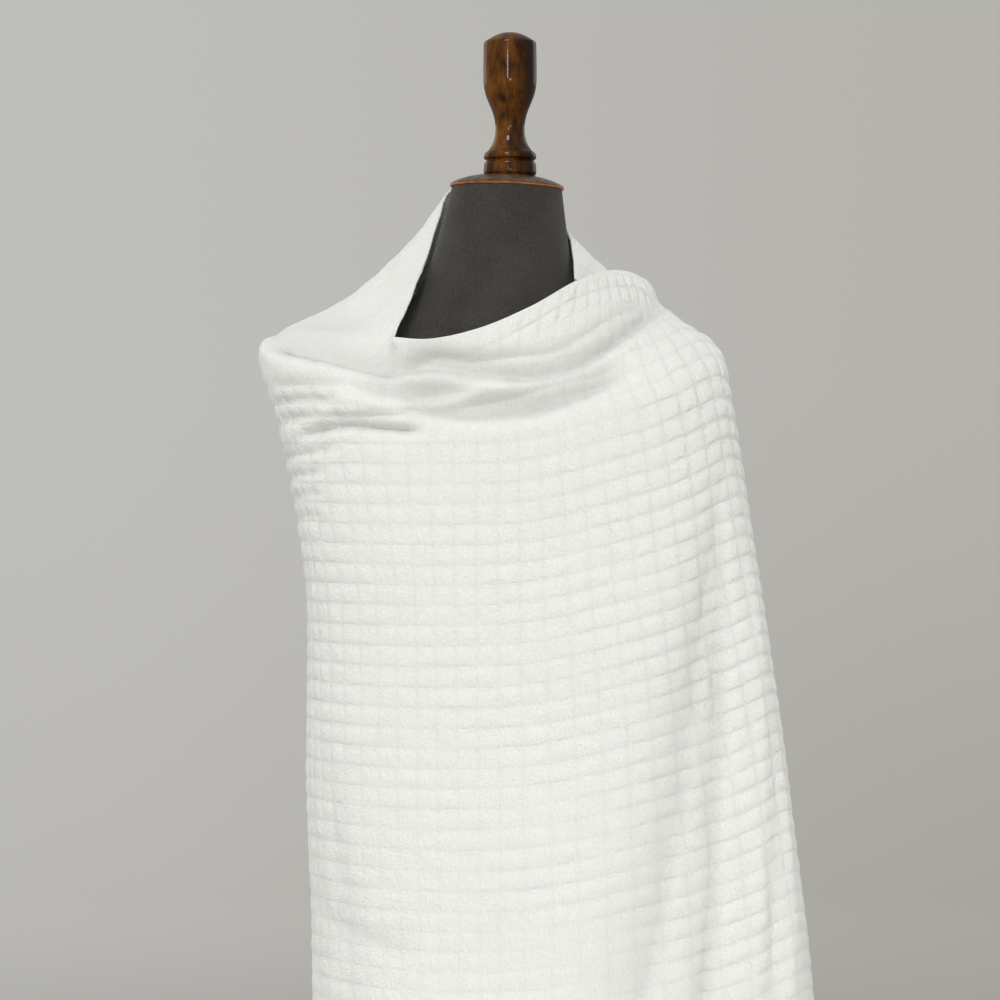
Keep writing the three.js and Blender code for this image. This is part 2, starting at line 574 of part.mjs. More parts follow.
/** Half outlines of the stand's turned parts, from the foot up: radius and height above the foot. */
const SOCKET_OUTLINE = [
  { radius: 24, rise: 0 }, { radius: 25, rise: 2 }, { radius: 25, rise: 34 }, { radius: 30, rise: 39 },
  { radius: 46, rise: 40 }, { radius: 46, rise: SOCKET_TALL }, { radius: 0, rise: SOCKET_TALL },
];
const BASE_OUTLINE = [
  { radius: BASE_RADIUS - 3, rise: 0 }, { radius: BASE_RADIUS, rise: 3 }, { radius: BASE_RADIUS, rise: 14 },
  { radius: BASE_RADIUS - 10, rise: 21 }, { radius: BASE_RADIUS - 40, rise: BASE_THICK },
  { radius: 34, rise: BASE_THICK }, { radius: 26, rise: BASE_THICK + 6 },
  { radius: 25, rise: BASE_THICK + BOSS_TALL }, { radius: 0, rise: BASE_THICK + BOSS_TALL },
];

/** The flange under the plate, the pole, and the round base with a boss that the pole stands on. */
function stand() {
  const socketTop = TORSO_BOTTOM - TOUCH_GAP - PLATE_THICK - TOUCH_GAP;
  const socketBottom = socketTop - SOCKET_TALL;
  const poleBottom = BASE_THICK + BOSS_TALL + TOUCH_GAP;
  const poleTop = socketBottom - TOUCH_GAP;
  const pole = new THREE.CylinderGeometry(POLE_RADIUS, POLE_RADIUS, poleTop - poleBottom, TURNED_SIDES)
    .rotateX(Math.PI / 2)
    .translate(0, 0, (poleTop + poleBottom) / 2);
  return [
    named("stand_socket", turnedFrom(SOCKET_OUTLINE).translate(0, 0, socketBottom), BLACK_PAINT()),
    named("stand_pole", pole, BLACK_PAINT()),
    named("stand_base", turnedFrom(BASE_OUTLINE), BLACK_PAINT()),
  ];
}

const wasm = await Module();
wasm.setup();

const part = new THREE.Group();
part.name = "ihram_cloth_on_dress_form";
part.add(...cloth(), formTorso(), neckCap(wasm), neckFinial(), bottomPlate(), ...stand());

export default part;
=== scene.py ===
"""Looks of the ihram cloth on its limbless dress form.

Sizes are in millimetres, as in the CAD, until a mesh is made.
"""
import math

import bpy
import numpy as np
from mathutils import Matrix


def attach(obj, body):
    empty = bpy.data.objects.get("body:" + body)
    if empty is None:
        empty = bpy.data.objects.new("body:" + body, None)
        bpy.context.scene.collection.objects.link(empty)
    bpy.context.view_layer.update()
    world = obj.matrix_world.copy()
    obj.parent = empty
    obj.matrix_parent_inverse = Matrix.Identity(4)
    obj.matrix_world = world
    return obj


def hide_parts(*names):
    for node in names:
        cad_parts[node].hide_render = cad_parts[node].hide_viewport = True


def table(columns, rows):
    """Rows as dictionaries, by the names of their columns."""
    return [dict(zip(columns.split(), row)) for row in rows]


# ---- Driving dimensions of the cloth, as in the CAD ----
CLOTH_WALL = 2.4
SEAM_GAP = 0.04
LAYER_LIFT = 7
MIDDLE_DOWN = 0.5  # the section from which turns are measured
QUARTER_STEPS = 400
TURN_LENGTH = 1200  # of cloth in one turn, at that section
DATUM_DOWN = 0.36
HEM_BELOW_DATUM = 880
THROW = {"from": 0.97, "to": 1.06, "drop": 108}
COLLAR_SAG = {"left": 28.5, "right": 0}
FRONT_SAG = {"left": 28.5, "right": 10}
SAG_PLACE = 1 / 3
LINE_STEPS = 240

COLLAR_EDGE = table("turn across deep height", [
    (-0.04, 65.5, -34, 1483),
    (0.0, 65, -12, 1503),
    (0.04, 62, 10, 1526),
    (0.1, 55, 34, 1540),
    (0.16, 44, 54, 1550),
    (0.23, 18, 72, 1565),
    (0.31, -24, 76, 1579),
    (0.38, -58, 64, 1581),
    (0.44, -69, 38, 1553),
    (0.5, -82, -5, 1506),
    (0.56, -90, -42, 1480),
    (0.61, -101, -77, 1449),
    (0.655, -114, -104, 1422),
])
FRONT_EDGE = table("turn across deep height", [
    (0.655, -114, -104, 1422),
    (0.685, -77, -113, 1420),
    (0.725, -28, -114, 1430),
    (0.765, 20, -106, 1451),
    (0.81, 64, -84, 1477),
    (0.885, 102, -38, 1489),
    (0.965, 131, -4, 1480),
    (1.02, 139, 22, 1472),
    (1.06, 134, 48, 1474),
])
CLOTH_SECTIONS = table("down left right front back at_left at_right at_front at_back square", [
    (0.24, 246, 202, 129, 116, 1424, 1413, 1368, 1443, 2.3),
    (0.36, 225, 214, 137, 124, 1319, 1368, 1317, 1345, 2.6),
    (0.5, 200, 242, 141, 126, 1170, 1190, 1165, 1180, 2.7),
    (0.68, 195, 276, 138, 130, 965, 965, 965, 965, 2.7),
    (0.84, 188, 298, 136, 132, 770, 770, 770, 770, 2.7),
    (1.2, 196, 322, 142, 138, 330, 330, 330, 330, 2.6),
])

# ---- Creases across the chest: x and z along each, its half widths above and below, and its rise ----
CREASES = table("name path above below rise fade", [
    ("shoulder tuck", [(-250, 1420), (-213, 1413), (-160, 1401), (-100, 1387)], 18, 6, -17, 26),
    ("ridge over the tuck", [(-246, 1441), (-200, 1434), (-150, 1424), (-95, 1411)], 9, 8, 3, 40),
    ("under the neck band",
     [(-130, 1391), (-75, 1397), (-30, 1390), (20, 1385), (75, 1401), (130, 1440), (165, 1460)],
     13, 7, -16, 40),
    ("pinch under the band",
     [(-110, 1395), (-68, 1406), (-40, 1402), (0, 1404), (50, 1412), (100, 1443), (140, 1462)], 6, 5, -5, 30),
    ("ridge under it", [(-60, 1372), (0, 1374), (40, 1383), (90, 1400), (150, 1426)], 11, 9, 5, 45),
    ("middle crease",
     [(-120, 1356), (-75, 1351), (-40, 1347), (20, 1351), (60, 1364), (125, 1390)], 19, 6, -17, 45),
    ("pinch over the middle crease",
     [(-60, 1356), (-21, 1361), (4, 1365), (43, 1378), (74, 1386), (112, 1395)], 5, 5, -3.5, 25),
    ("left hollow", [(-165, 1378), (-128, 1368), (-80, 1368), (-20, 1374)], 18, 5, -11, 45),
    ("lip under the hollow", [(-160, 1368), (-128, 1357), (-80, 1357), (-30, 1361)], 6, 8, 3, 35),
    ("left crease", [(-214, 1324), (-190, 1330), (-160, 1336), (-125, 1334), (-76, 1330)], 6, 4, -12, 26),
    ("left crease lip", [(-205, 1341), (-177, 1350), (-142, 1350), (-84, 1347)], 7, 5, 3, 35),
    ("edge wrinkle 1", [(-240, 1378), (-200, 1377), (-150, 1378)], 7, 4.5, -3.5, 20),
    ("edge wrinkle 2", [(-238, 1360), (-205, 1362), (-165, 1361)], 7, 4.5, -5.5, 20),
    ("edge wrinkle 3", [(-236, 1342), (-190, 1346), (-125, 1347), (-80, 1348)], 7, 4.5, -6, 22),
    ("edge wrinkle 4", [(-232, 1304), (-200, 1309), (-160, 1314)], 7, 4.5, -5, 20),
    ("edge wrinkle 5", [(-228, 1285), (-200, 1289), (-172, 1292)], 7, 4.5, -4, 18),
    ("edge wrinkle 6", [(-224, 1266), (-198, 1269), (-175, 1271)], 7, 4.5, -3, 18),
    ("edge wrinkle 7", [(-220, 1247), (-198, 1249), (-178, 1250)], 7, 4.5, -2.5, 18),
    ("lower left swoop", [(-205, 895), (-165, 850), (-80, 832)], 10, 16, -2.5, 45),
])

# ---- Falls: a place on the turn at three heights, half widths before and beyond it, and a rise ----
FALLS = table("name t z wide beyond rise", [
    ("diagonal valley", (0.932, 0.866, 0.795), (1300, 985, 500), 26, 7, -12),
    ("between the valleys", (0.915, 0.878, 0.825), (1100, 900, 450), 12, 12, 4),
    ("side crease", (0.937, 0.89, 0.848), (1345, 985, 450), 20, 6, -15),
    ("outer strip", (0.966, 0.922, 0.885), (1300, 980, 450), 18, 18, 7),
    ("strip trough", (0.944, 0.928, 0.895), (1060, 923, 500), 9, 9, -4),
    ("far right roll", (0.962, 0.942, 0.91), (1150, 912, 500), 13, 13, 5),
    ("right side trough", (1.0, 0.985, 0.965), (1250, 900, 450), 18, 18, -8),
    ("left edge crease", (0.556, 0.584, 0.588), (1120, 950, 500), 18, 18, -3.5),
    ("left side roll", (0.51, 0.52, 0.53), (1250, 900, 450), 24, 24, 6),
    ("left back trough", (0.45, 0.44, 0.435), (1300, 950, 450), 20, 20, -12),
    ("left back roll", (0.4, 0.385, 0.38), (1330, 950, 450), 26, 26, 8),
    ("back trough", (0.345, 0.33, 0.325), (1380, 950, 450), 22, 22, -12),
    ("back roll", (0.29, 0.28, 0.27), (1300, 950, 450), 26, 26, 7),
    ("right back trough", (0.22, 0.225, 0.22), (1350, 950, 450), 19, 19, -10),
    ("thrown end roll", (0.15, 0.165, 0.17), (1400, 950, 450), 22, 22, 9),
    ("thrown end trough", (0.09, 0.105, 0.11), (1400, 950, 450), 19, 19, -12),
    ("shoulder fall roll", (0.03, 0.045, 0.05), (1380, 950, 450), 24, 24, 8),
])
CHEST_FADE = (-60, 0)  # the depth behind and at the axis over which the creases across the chest fade in
FALL_FADE = 260
LAYER_TURNS = (0.8, 0.94)  # over which the front rises onto the cloth that it lies on
CORNER_ROUNDING = 16  # of the cloth under the corner of the front edge
SWAY = {"high": 0.7, "in_a_turn": 24, "tall": 60}  # a slow unevenness all over
RIPPLE = {"high": 0.3, "wide": 11, "tall": 9}
SLOPE = {"begins": (0.34, 0.42), "ends": (0.67, 0.6), "depth": (170, 90)}  # of the left shoulder
PUCKER = {"high": 0.9, "wide": 22, "tall": 13}  # on that slope
SLOPE_SWELL = {"height": 1500, "wide": 40, "rise": 7, "depth": (0, 40)}
CREASE_FULL = 11  # a crease this deep has its full painted shade
FALL_SHADE = 0.7  # how much of that painted shade a fall has
CREASE_SHARP = 1.5  # 2 is a round trough, 1 a crease with an edge
FALL_SHARP = 1.4

# ---- How much higher than level the rows and the hem run, from the front over the right side ----
ROW_RISE = table("turn rise", [
    (0.66, 0), (0.7, 0), (0.76, 3), (0.83, 16), (0.895, 21), (0.94, 23), (0.97, 14), (1.04, 0), (1.08, 0),
])

# ---- The waffle ----
CELL_WIDE = 21.2
CELL_TALL = 19.5
CELL_WOBBLE = 0.05  # how far the rows and columns wander, in cells
PILLOW_HIGH = 1.05  # how far a cell stands out of the valleys round it
PILLOW_SHARP = 3.2  # 2 is a round pillow; a higher number is flatter, with narrower valleys
INSIDE_SUNK = 0.5  # how much of a valley's depth the cloth's inside has
RIBS_A_CELL = 9
HEM_BAND = 12  # the plain turned hem along the bottom and the two ends
EDGE_BAND = 4  # the plain strip along the top edge
BAND_BLEND = 3  # over which the waffle fades into either
NECK_BAND = 39  # the rows under the front edge that follow it
BAND_START = (0.66, 0.7)  # the turns over which that band begins
BAND_END = 0.94
BAND_JOIN = 9  # half of the height over which its rows run into those below

# ---- Where the waffle is clearer or fainter. A pair is where a change begins and where it is full ----
STRETCHED_CHEST = {"x": (105, 0), "y": (60, 20), "lowest": 1308, "left_lift": 50, "tall": 32, "less": 0.78}
BAND_IN_IT = {"x": (-60, 20), "kept": 0.8}
BAND_SEAM = {"share": (0.02, 0.3), "less": 0.9}
LOWER_BODY = {"z": (800, 1100), "least": 0.7}
RIGHT_BODY = {"x": (80, 190), "least": 0.8, "more": 0.65}
RIGHT_SHOULDER = {"x": (120, 190), "z": (1250, 1330), "more": 0.4}
LEFT_EDGE = {"x": (-110, -180), "more": 0.5}

# ---- The stretches, with the step of their columns along the cloth ----
STRETCHES = table("name from to step", [
    ("rida_tucked_end", -0.04, 0.08, 3.5),
    ("rida_back", 0.08, 0.42, 3.5),
    ("rida_left_side", 0.42, 0.6, 2.65),
    ("rida_front", 0.6, 0.86, 2.65),
    ("rida_right_side", 0.86, 1.06, 2.65),
    ("rida_thrown_end", 1.06, 1.22, 3.5),
])
ROWS_ABOVE = 64
ROWS_BELOW = 270
RIM_STEPS = 4  # round the turned edge, an even number

# ---- The dress form and its stand ----
NECK_TOP = 1576
NECK_TILT = math.radians(2)
TORSO_BOTTOM = 800
TOUCH_GAP = 0.3
FORM_SECTIONS = table("height left right front back square", [
    (TORSO_BOTTOM, 160, 160, 100, 104, 2.3),
    (830, 169, 169, 108, 106, 2.3),
    (900, 173, 173, 112, 109, 2.3),
    (980, 166, 166, 110, 106, 2.3),
    (1090, 152, 152, 104, 98, 2.3),
    (1190, 163, 163, 112, 102, 2.4),
    (1280, 182, 182, 121, 110, 2.5),
    (1340, 191, 191, 113, 112, 2.5),
    (1380, 199, 199, 100, 109, 2.4),
    (1404, 195, 195, 91, 102, 2.3),
    (1422, 178, 182, 83, 93, 2.2),
    (1438, 149.5, 148.5, 76, 83, 2.1),
    (1452, 117, 105, 70, 74, 2),
    (1468, 96, 73, 67, 68, 2),
    (1488, 84, 63.5, 62, 63, 2),
    (1515, 75, 60.5, 59, 58, 2),
    (1545, 66, 57, 58, 54, 2),
    (NECK_TOP, 57.5, 53.5, 57, 52, 2),
])
FORM_SIDES = 144
FORM_RINGS = 200
FORM_INSET = 0.5  # the fine form stays inside the faceted one
NECK_LEAN_TALL = 60  # the height over which the neck comes to lean with its cap
SEAT_HEIGHT = 1588
CAP_RADIUS = 57
CAP_ACROSS = -2
CAP_EDGE = 2.5
CAP_DOME = 12.5
CAP_FLATNESS = 0.75
CAP_SHARES = (0.995, 0.97, 0.92, 0.85, 0.77, 0.68, 0.57, 0.49)  # of its radius, where its outline has points
FINIAL_ACROSS = 1
FINIAL_OUTLINE = table("radius rise corner", [
    (0, 0, 0), (24.5, 0, 1), (26.2, 3, 0), (26.3, 7, 0), (25.6, 13, 0), (24, 14.8, 1), (23.6, 16.2, 1),
    (26, 18, 0), (26.2, 20.5, 0), (25, 23.5, 1), (22, 25.8, 0), (19, 30, 0), (16.6, 35, 0), (14.9, 42, 0),
    (14.6, 49, 0), (15.6, 57, 0), (17.8, 65, 0), (21, 73, 0), (24.2, 81, 0), (26, 89, 0), (26.6, 96, 0),
    (26.2, 133, 0), (25.2, 134.8, 1), (17, 139.8, 0), (8, 143.4, 0), (0, 144, 0),
])
OUTLINE_STEPS = 6  # of the finial's outline, between two rows

PLATE_TOP = TORSO_BOTTOM - TOUCH_GAP
PLATE_THICK = 12
PLATE_INSET = 14  # from the torso's edge
PLATE_EDGE = table("inset rise", [(1, 0), (0.3, 0.7), (0, 1.6), (0, PLATE_THICK)])
SOCKET_TOP = PLATE_TOP - PLATE_THICK - TOUCH_GAP
SOCKET_TALL = 46
BASE_RADIUS = 190
BASE_THICK = 22
BASE_BEVEL = 3
BASE_SHOULDER = {"below_top": 8, "rise": 7, "wide": 10, "steps": 6}  # its rounded upper edge
BOSS_TALL = 28
POLE_RADIUS = 16
# Outlines by radius and height: the socket's over its bottom, the boss's over the top of the base.
SOCKET_OUTLINE = [
    (0, 0), (24, 0), (24.7, 0.6), (25, 2), (25, SOCKET_TALL - 12), (26.5, SOCKET_TALL - 9),
    (30, SOCKET_TALL - 7), (44, SOCKET_TALL - 6), (46, SOCKET_TALL - 5), (46, SOCKET_TALL), (0, SOCKET_TALL),
]
BOSS_OUTLINE = [(150, 0), (34, 0), (29, 2), (26, 6), (25, BOSS_TALL - 1), (24, BOSS_TALL), (0, BOSS_TALL)]
TURNED_SIDES = 96
HARD_CORNER = math.radians(38)  # edges sharper than this stay sharp

# ---- Materials ----
CLOTH_WHITE = (0.86, 0.86, 0.83)
# The grey that painted shade in creases and valleys mixes towards; the random specks of the nap use it too.
CLOTH_SHADE_AND_SPECK_GREY = (0.62, 0.62, 0.6)
CREASE_SHADE = 0.55  # how far a full crease's painted shade goes from white to the shade grey
# Painted shade in the valleys round the cells: most in them, less over a cell's middle either way.
VALLEY_SHADE = {"most": 0.38, "less_upright": 0.22, "less_level": 0.16}
TUFT_SHADE = 0.16
CELL_SHARP = {"upright": 5, "level": 6}  # as PILLOW_SHARP, for the fine relief on a cell
CELL_WANDER = {"in_a_cell": 1.3, "by": (0.16, 0.16, 0)}
CELL_WEAR = {"in_a_cell": 1.1, "least": 0.5}
LOOPS_A_METRE = 620
TUFTS_A_METRE = 330
CELL_BUMP = 0.5  # the heights of bumps, in millimetres
RIB_BUMP = 1.2
LOOP_BUMP = 1.0
TUFT_BUMP = 1.0
KNIT_BUMP = 0.2
PORE_BUMP = 0.08
PEEL_BUMP = 0.06
NOISE_SPAN = (0.3, 0.7)  # where nearly all the values of a noise lie
TUFT_SPAN = (0.35, 0.65)
JERSEY_DARK, JERSEY_PALE = (0.034, 0.032, 0.027), (0.053, 0.049, 0.043)
FINIAL_PALE, FINIAL_DARK = (0.2, 0.066, 0.004), (0.012, 0.004, 0.001)
CAP_PALE, CAP_DARK = (0.125, 0.088, 0.052), (0.022, 0.017, 0.011)
RIM_COPPER = (0.5, 0.13, 0.03)
RIM_LINE_TALL = 1.8
RIM_LINE_BLUR = 0.6
RIM_LINE_WEAR = {"a_metre": 90, "span": (0.35, 0.6), "least": 0.45}
PAINTED_SIDE_SHADE = {"middle": -0.006, "away": (0.006, 0.03)}  # painted shade, in metres, across the finial: the wood darkens from its middle towards both sides
WOOD_STREAKS = {"a_metre": 130, "share": 0.55}
WOOD_BLOTCHES = {"a_metre": 34, "share": 0.6}
WOOD_SPAN = (0.4, 0.8)
WOOD_PORES = 500
GRAIN_STRETCH = (1, 1, 0.4)
PAINT_BLACK = (0.02, 0.02, 0.019)

# ---- Studio ----
FLOOR_HEIGHT = -1  # a millimetre under the base
FLOOR_RINGS = (0, 2000, 7200)
SWEEP_RADIUS = 1500
SWEEP_STEPS = 12
WALL_TOP = 7000
STUDIO_SIDES = 96
STUDIO_GREY = (0.3, 0.3, 0.29)
# Colours of the wall's glow, a painted light, and how it deepens low down and to the right:
WALL_PALE, WALL_DEEP = (0.478, 0.472, 0.455), (0.29, 0.278, 0.25)
WALL_DEEPENS = {"right": 0.45, "low": 0.3, "low_right": 0.25}
# From here on in metres, as Blender has them.
WALL_RIGHT = (-1.8, 2.0)
WALL_LOW = (1.8, -0.4)
GLOW_SPAN = (1.2, 6.8)  # from the floor's glow near the object to the wall's
WALL_GLOW = 0.74  # the wall lights the object evenly from all round
FLOOR_GLOW = 0.1  # and the floor near it less, so that folds are shaded from below
AIR_COLOR = (1, 0.995, 0.98, 1)
AIR_STRENGTH = 0.6
# A lamp is a rectangle. It aims at a height on the object's axis, over so many degrees.
LIGHTS = table("name at wide tall power aim spread", [
    ("key", (-0.8, -2.7, 3.8), 0.9, 0.9, 47, 1.15, 180),
    ("flash", (-0.02, -4.4, 1.75), 0.3, 0.3, 7.5, 1.15, 180),
    ("strip", (-0.8, -4.4, 2.27), 0.34, 0.5, 11, 1.15, 180),
    ("fill right", (3.0, -1.2, 1.2), 2.0, 2.0, 25, 1.15, 180),
    ("fill left", (-3.0, -1.2, 1.3), 2.0, 2.0, 18, 1.15, 180),
    ("low front", (0.2, -3.0, 1.6), 0.5, 0.5, 1.4, 0.55, 42),
    ("back left", (-2.8, 3.0, 2.8), 2.0, 2.0, 16, 1.15, 180),
    ("back right", (2.8, 3.0, 2.8), 2.0, 2.0, 16, 1.15, 180),
])
CAMERA_AT = (-0.009, -3.2, 1.265)
CAMERA_LENS = 115.2
CAMERA_SENSOR = 36

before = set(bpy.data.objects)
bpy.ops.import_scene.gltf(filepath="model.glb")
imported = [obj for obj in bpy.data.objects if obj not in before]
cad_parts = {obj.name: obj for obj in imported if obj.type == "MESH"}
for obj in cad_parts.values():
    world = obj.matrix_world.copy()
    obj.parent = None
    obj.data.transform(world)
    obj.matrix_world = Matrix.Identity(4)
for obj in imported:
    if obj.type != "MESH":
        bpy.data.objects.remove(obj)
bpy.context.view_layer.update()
MM = 0.001


# ---- Small mathematics ----
def smooth(low, high, value):
    """A soft step from 0 at low to 1 at high, which may be the smaller number."""
    f = np.clip((value - low) / (high - low), 0, 1)
    return f * f * (3 - 2 * f)


def bell(offset, wide, sharp):
    return np.exp(-(np.abs(offset / wide) ** sharp))


def drift(a, b, seed):
    """A slow uneven wave of two places, about -1 to 1, with no repeat that shows."""
    total = 0
    for n in range(4):
        turn = seed * 1.7 + n * 2.4
        along_a = a * (0.9 + 0.53 * n) * math.cos(turn)
        along_b = b * (1.1 + 0.47 * n) * math.sin(turn)
        total = total + np.sin(along_a + along_b + turn)
    return total / 2.6


def spline(keys, values, places):
    """A smooth curve through values at rising keys, the same one as in the CAD."""
    keys = np.asarray(keys, float)
    values = np.asarray(values, float)
    last = len(keys) - 1
    before = np.maximum(np.arange(len(keys)) - 1, 0)
    after = np.minimum(np.arange(len(keys)) + 1, last)
    spread = (1,) * (values.ndim - 1)
    slopes = (values[after] - values[before]) / (keys[after] - keys[before]).reshape(-1, *spread)
    places = np.asarray(places, float)
    i = np.clip(np.searchsorted(keys, places, side="right") - 1, 0, last - 1)
    span = (keys[i + 1] - keys[i]).reshape(*places.shape, *spread)
    f = ((places - keys[i]) / (keys[i + 1] - keys[i])).reshape(*places.shape, *spread)
    return (
        (2 * f**3 - 3 * f**2 + 1) * values[i]
        + (f**3 - 2 * f**2 + f) * span * slopes[i]
        + (3 * f**2 - 2 * f**3) * values[i + 1]
        + (f**3 - f**2) * span * slopes[i + 1]
    )


def through(x, xs, ys):
    """The parabola through three points."""
    total = 0
    for n in range(3):
        a, b = [m for m in range(3) if m != n]
        total = total + ys[n] * (x - xs[a]) * (x - xs[b]) / ((xs[n] - xs[a]) * (xs[n] - xs[b]))
    return total


def column_of(rows, name):
    return [row[name] for row in rows]


# ---- The drape ----
SIDES = ("left", "right", "front", "back")


def plan_point(left, right, front, back, square, angle):
    """A point of a rounded plan. Its quarters are ellipses where square is 2, and squarer above that."""
    c, s = np.cos(angle), np.sin(angle)
    across = np.where(c < 0, left, right)
    deep = np.where(s < 0, front, back)
    power = 2 / square
    return np.sign(c) * across * np.abs(c) ** power, np.sign(s) * deep * np.abs(s) ** power


def section_plan(section, angle):
    return plan_point(*[section[side] for side in SIDES], section["square"], angle)


def angle_at(turns):
    """Angles that step evenly along the cloth's middle section."""
    middle = next(section for section in CLOTH_SECTIONS if section["down"] == MIDDLE_DOWN)
    quarters = (turns - np.floor(turns)) * 4
    quarter = np.minimum(np.floor(quarters), 3)
    angles = np.zeros_like(turns)
    shares = np.linspace(0, 1, QUARTER_STEPS + 1)
    for q in range(4):
        x, y = section_plan(middle, (q + shares) * math.pi / 2)
        lengths = np.concatenate([[0], np.cumsum(np.hypot(np.diff(x), np.diff(y)))])
        here = quarter == q
        angles[here] = (q + np.interp(quarters[here] - q, lengths / lengths[-1], shares)) * math.pi / 2
    return angles


def section_points(section, angle):
    x, y = section_plan(section, angle)
    c, s = np.cos(angle), np.sin(angle)
    sideways = np.where(c < 0, section["at_left"], section["at_right"])
    endways = np.where(s < 0, section["at_front"], section["at_back"])
    return np.stack([x, y, sideways * c * c + endways * s * s], axis=-1)


def edge_points(edge, turns):
    table = np.array([[row["across"], row["deep"], row["height"]] for row in edge], float)
    return spline(column_of(edge, "turn"), table, turns)


def cloth_lines(turns, edge, sag):
    """The cloth's falls at many turns, before any fold: points[step, turn] and the lengths down to them."""
    angle = angle_at(turns)
    top = edge_points(edge, turns)
    tip = section_points(CLOTH_SECTIONS[0], angle)
    sinking = top + (tip - top) * SAG_PLACE
    cosine = np.cos(angle)
    sinking[:, 2] -= cosine**2 * np.where(cosine < 0, sag["left"], sag["right"])
    downs = [0, CLOTH_SECTIONS[0]["down"] * SAG_PLACE, *column_of(CLOTH_SECTIONS, "down")]
    rows = np.array([top, sinking, *[section_points(section, angle) for section in CLOTH_SECTIONS]])
    places = np.linspace(0, downs[-1], LINE_STEPS + 1)
    points = spline(downs, rows, places)
    steps = np.linalg.norm(np.diff(points, axis=0), axis=2)
    lengths = np.concatenate([np.zeros((1, len(turns))), np.cumsum(steps, axis=0)])
    datum = lengths[np.searchsorted(places, DATUM_DOWN - 1e-6)]
    return points, lengths, datum


def row_rise(turns):
    inside = np.clip(turns, ROW_RISE[0]["turn"], ROW_RISE[-1]["turn"])
    return spline(column_of(ROW_RISE, "turn"), column_of(ROW_RISE, "rise"), inside)


def cloth_columns(turns, edge, sag, start):
    """Points down each line, and each one's length along the cloth from the datum and from the top edge."""
    points, lengths, datum = cloth_lines(turns, edge, sag)
    datum = datum - row_rise(turns)
    above = np.linspace(0, 1, ROWS_ABOVE + 1)
    below = np.linspace(0, HEM_BELOW_DATUM, ROWS_BELOW + 1)[1:]
    grid = np.zeros((len(turns), ROWS_ABOVE + ROWS_BELOW + 1, 3))
    fall = np.zeros(grid.shape[:2])
    for i in range(len(turns)):
        wanted = np.concatenate([start + (datum[i] - start) * above, datum[i] + below])
        for axis in range(3):
            grid[i, :, axis] = np.interp(wanted, lengths[:, i], points[:, i, axis])
        fall[i] = wanted - datum[i]
    return grid, fall, fall - fall[:, :1]


def plain_cloth(turns):
    """The grid of the whole cloth before its folds.

    Past the right shoulder the front lies on the start of the cloth.
    """
    is_collar = turns < FRONT_EDGE[0]["turn"]
    parts = [
        cloth_columns(turns[is_collar], COLLAR_EDGE, COLLAR_SAG, 0),
        cloth_columns(turns[~is_collar], FRONT_EDGE, FRONT_SAG, 0),
    ]
    grid, fall, depth = [np.concatenate(pair) for pair in zip(*parts)]
    share = smooth(THROW["from"], THROW["to"], turns)
    over = share > 0
    under_grid, under_fall, _ = cloth_columns(turns[over] - 1, COLLAR_EDGE, COLLAR_SAG, THROW["drop"])
    part = share[over][:, None]
    grid[over] += (under_grid - grid[over]) * part[:, :, None]
    fall[over] += (under_fall - fall[over]) * part
    return grid, fall, depth


def soften_corner(grid, turns, depth):
    """The front edge turns a sharp corner into the collar; the cloth under it is rounded over."""
    corner = FRONT_EDGE[0]["turn"]
    near = np.abs(turns - corner) * TURN_LENGTH < 4 * CORNER_ROUNDING
    places = turns[near] * TURN_LENGTH
    weights = np.exp(-(((places[:, None] - places[None, :]) / CORNER_ROUNDING) ** 2))
    weights /= weights.sum(axis=1, keepdims=True)
    rounded = np.einsum("ab,bjk->ajk", weights, grid[near])
    share = smooth(4 * CORNER_ROUNDING, 2 * CORNER_ROUNDING, np.abs(places - corner * TURN_LENGTH))[:, None]
    moved = (rounded - grid[near]) * share[..., None]
    moved[..., :2] *= smooth(0, CORNER_ROUNDING, depth[near])[..., None]
    moved[..., 2] *= smooth(0, 3 * CORNER_ROUNDING, depth[near])
    grid[near] += moved


def grid_normals(grid, wraps=False):
    """Outward directions of a grid's points: the sum of those of the cells round each."""
    closed = np.concatenate([grid, grid[:, :1]], axis=1) if wraps else grid
    rising = closed[1:, :-1] - closed[:-1, 1:]
    falling = closed[1:, 1:] - closed[:-1, :-1]
    cells = np.cross(falling, rising)
    normals = np.zeros_like(closed)
    for a in (slice(None, -1), slice(1, None)):
        for b in (slice(None, -1), slice(1, None)):
            normals[a, b] += cells
    if wraps:
        normals[:, 0] += normals[:, -1]
        normals = normals[:, :-1]
    return normals / np.maximum(np.linalg.norm(normals, axis=2, keepdims=True), 1e-12)


def crease_rise(crease, points):
    """How far one crease across the chest moves each point."""
    xs, zs = zip(*crease["path"])
    x = np.clip(points[..., 0], xs[0], xs[-1])
    line = spline(xs, zs, x)
    slope = (spline(xs, zs, np.minimum(x + 1, xs[-1])) - spline(xs, zs, np.maximum(x - 1, xs[0]))) / 2
    offset = (points[..., 2] - line) / np.sqrt(1 + slope**2)
    wide = np.where(offset > 0, crease["above"], crease["below"])
    fade = crease["fade"]
    ends = smooth(xs[0], xs[0] + fade, points[..., 0]) * smooth(xs[-1], xs[-1] - fade, points[..., 0])
    return crease["rise"] * ends * bell(offset, wide, CREASE_SHARP)


def chest_rise(points):
    """How far the creases across the chest move each point."""
    return smooth(*CHEST_FADE, -points[..., 1]) * sum(crease_rise(crease, points) for crease in CREASES)


def fall_rise(turns, points):
    """How far the folds that run down move each point."""
    rise = np.zeros(points.shape[:2])
    place = (turns - np.floor(turns))[:, None]
    for fall in FALLS:
        height = np.minimum(points[..., 2], fall["z"][0])
        offset = (np.mod(place - through(height, fall["z"], fall["t"]) + 0.5, 1) - 0.5) * TURN_LENGTH
        wide = np.where(offset > 0, fall["beyond"], fall["wide"])
        grown = smooth(fall["z"][0], fall["z"][0] - FALL_FADE, points[..., 2])
        rise += fall["rise"] * grown * bell(offset, wide, FALL_SHARP)
    return rise


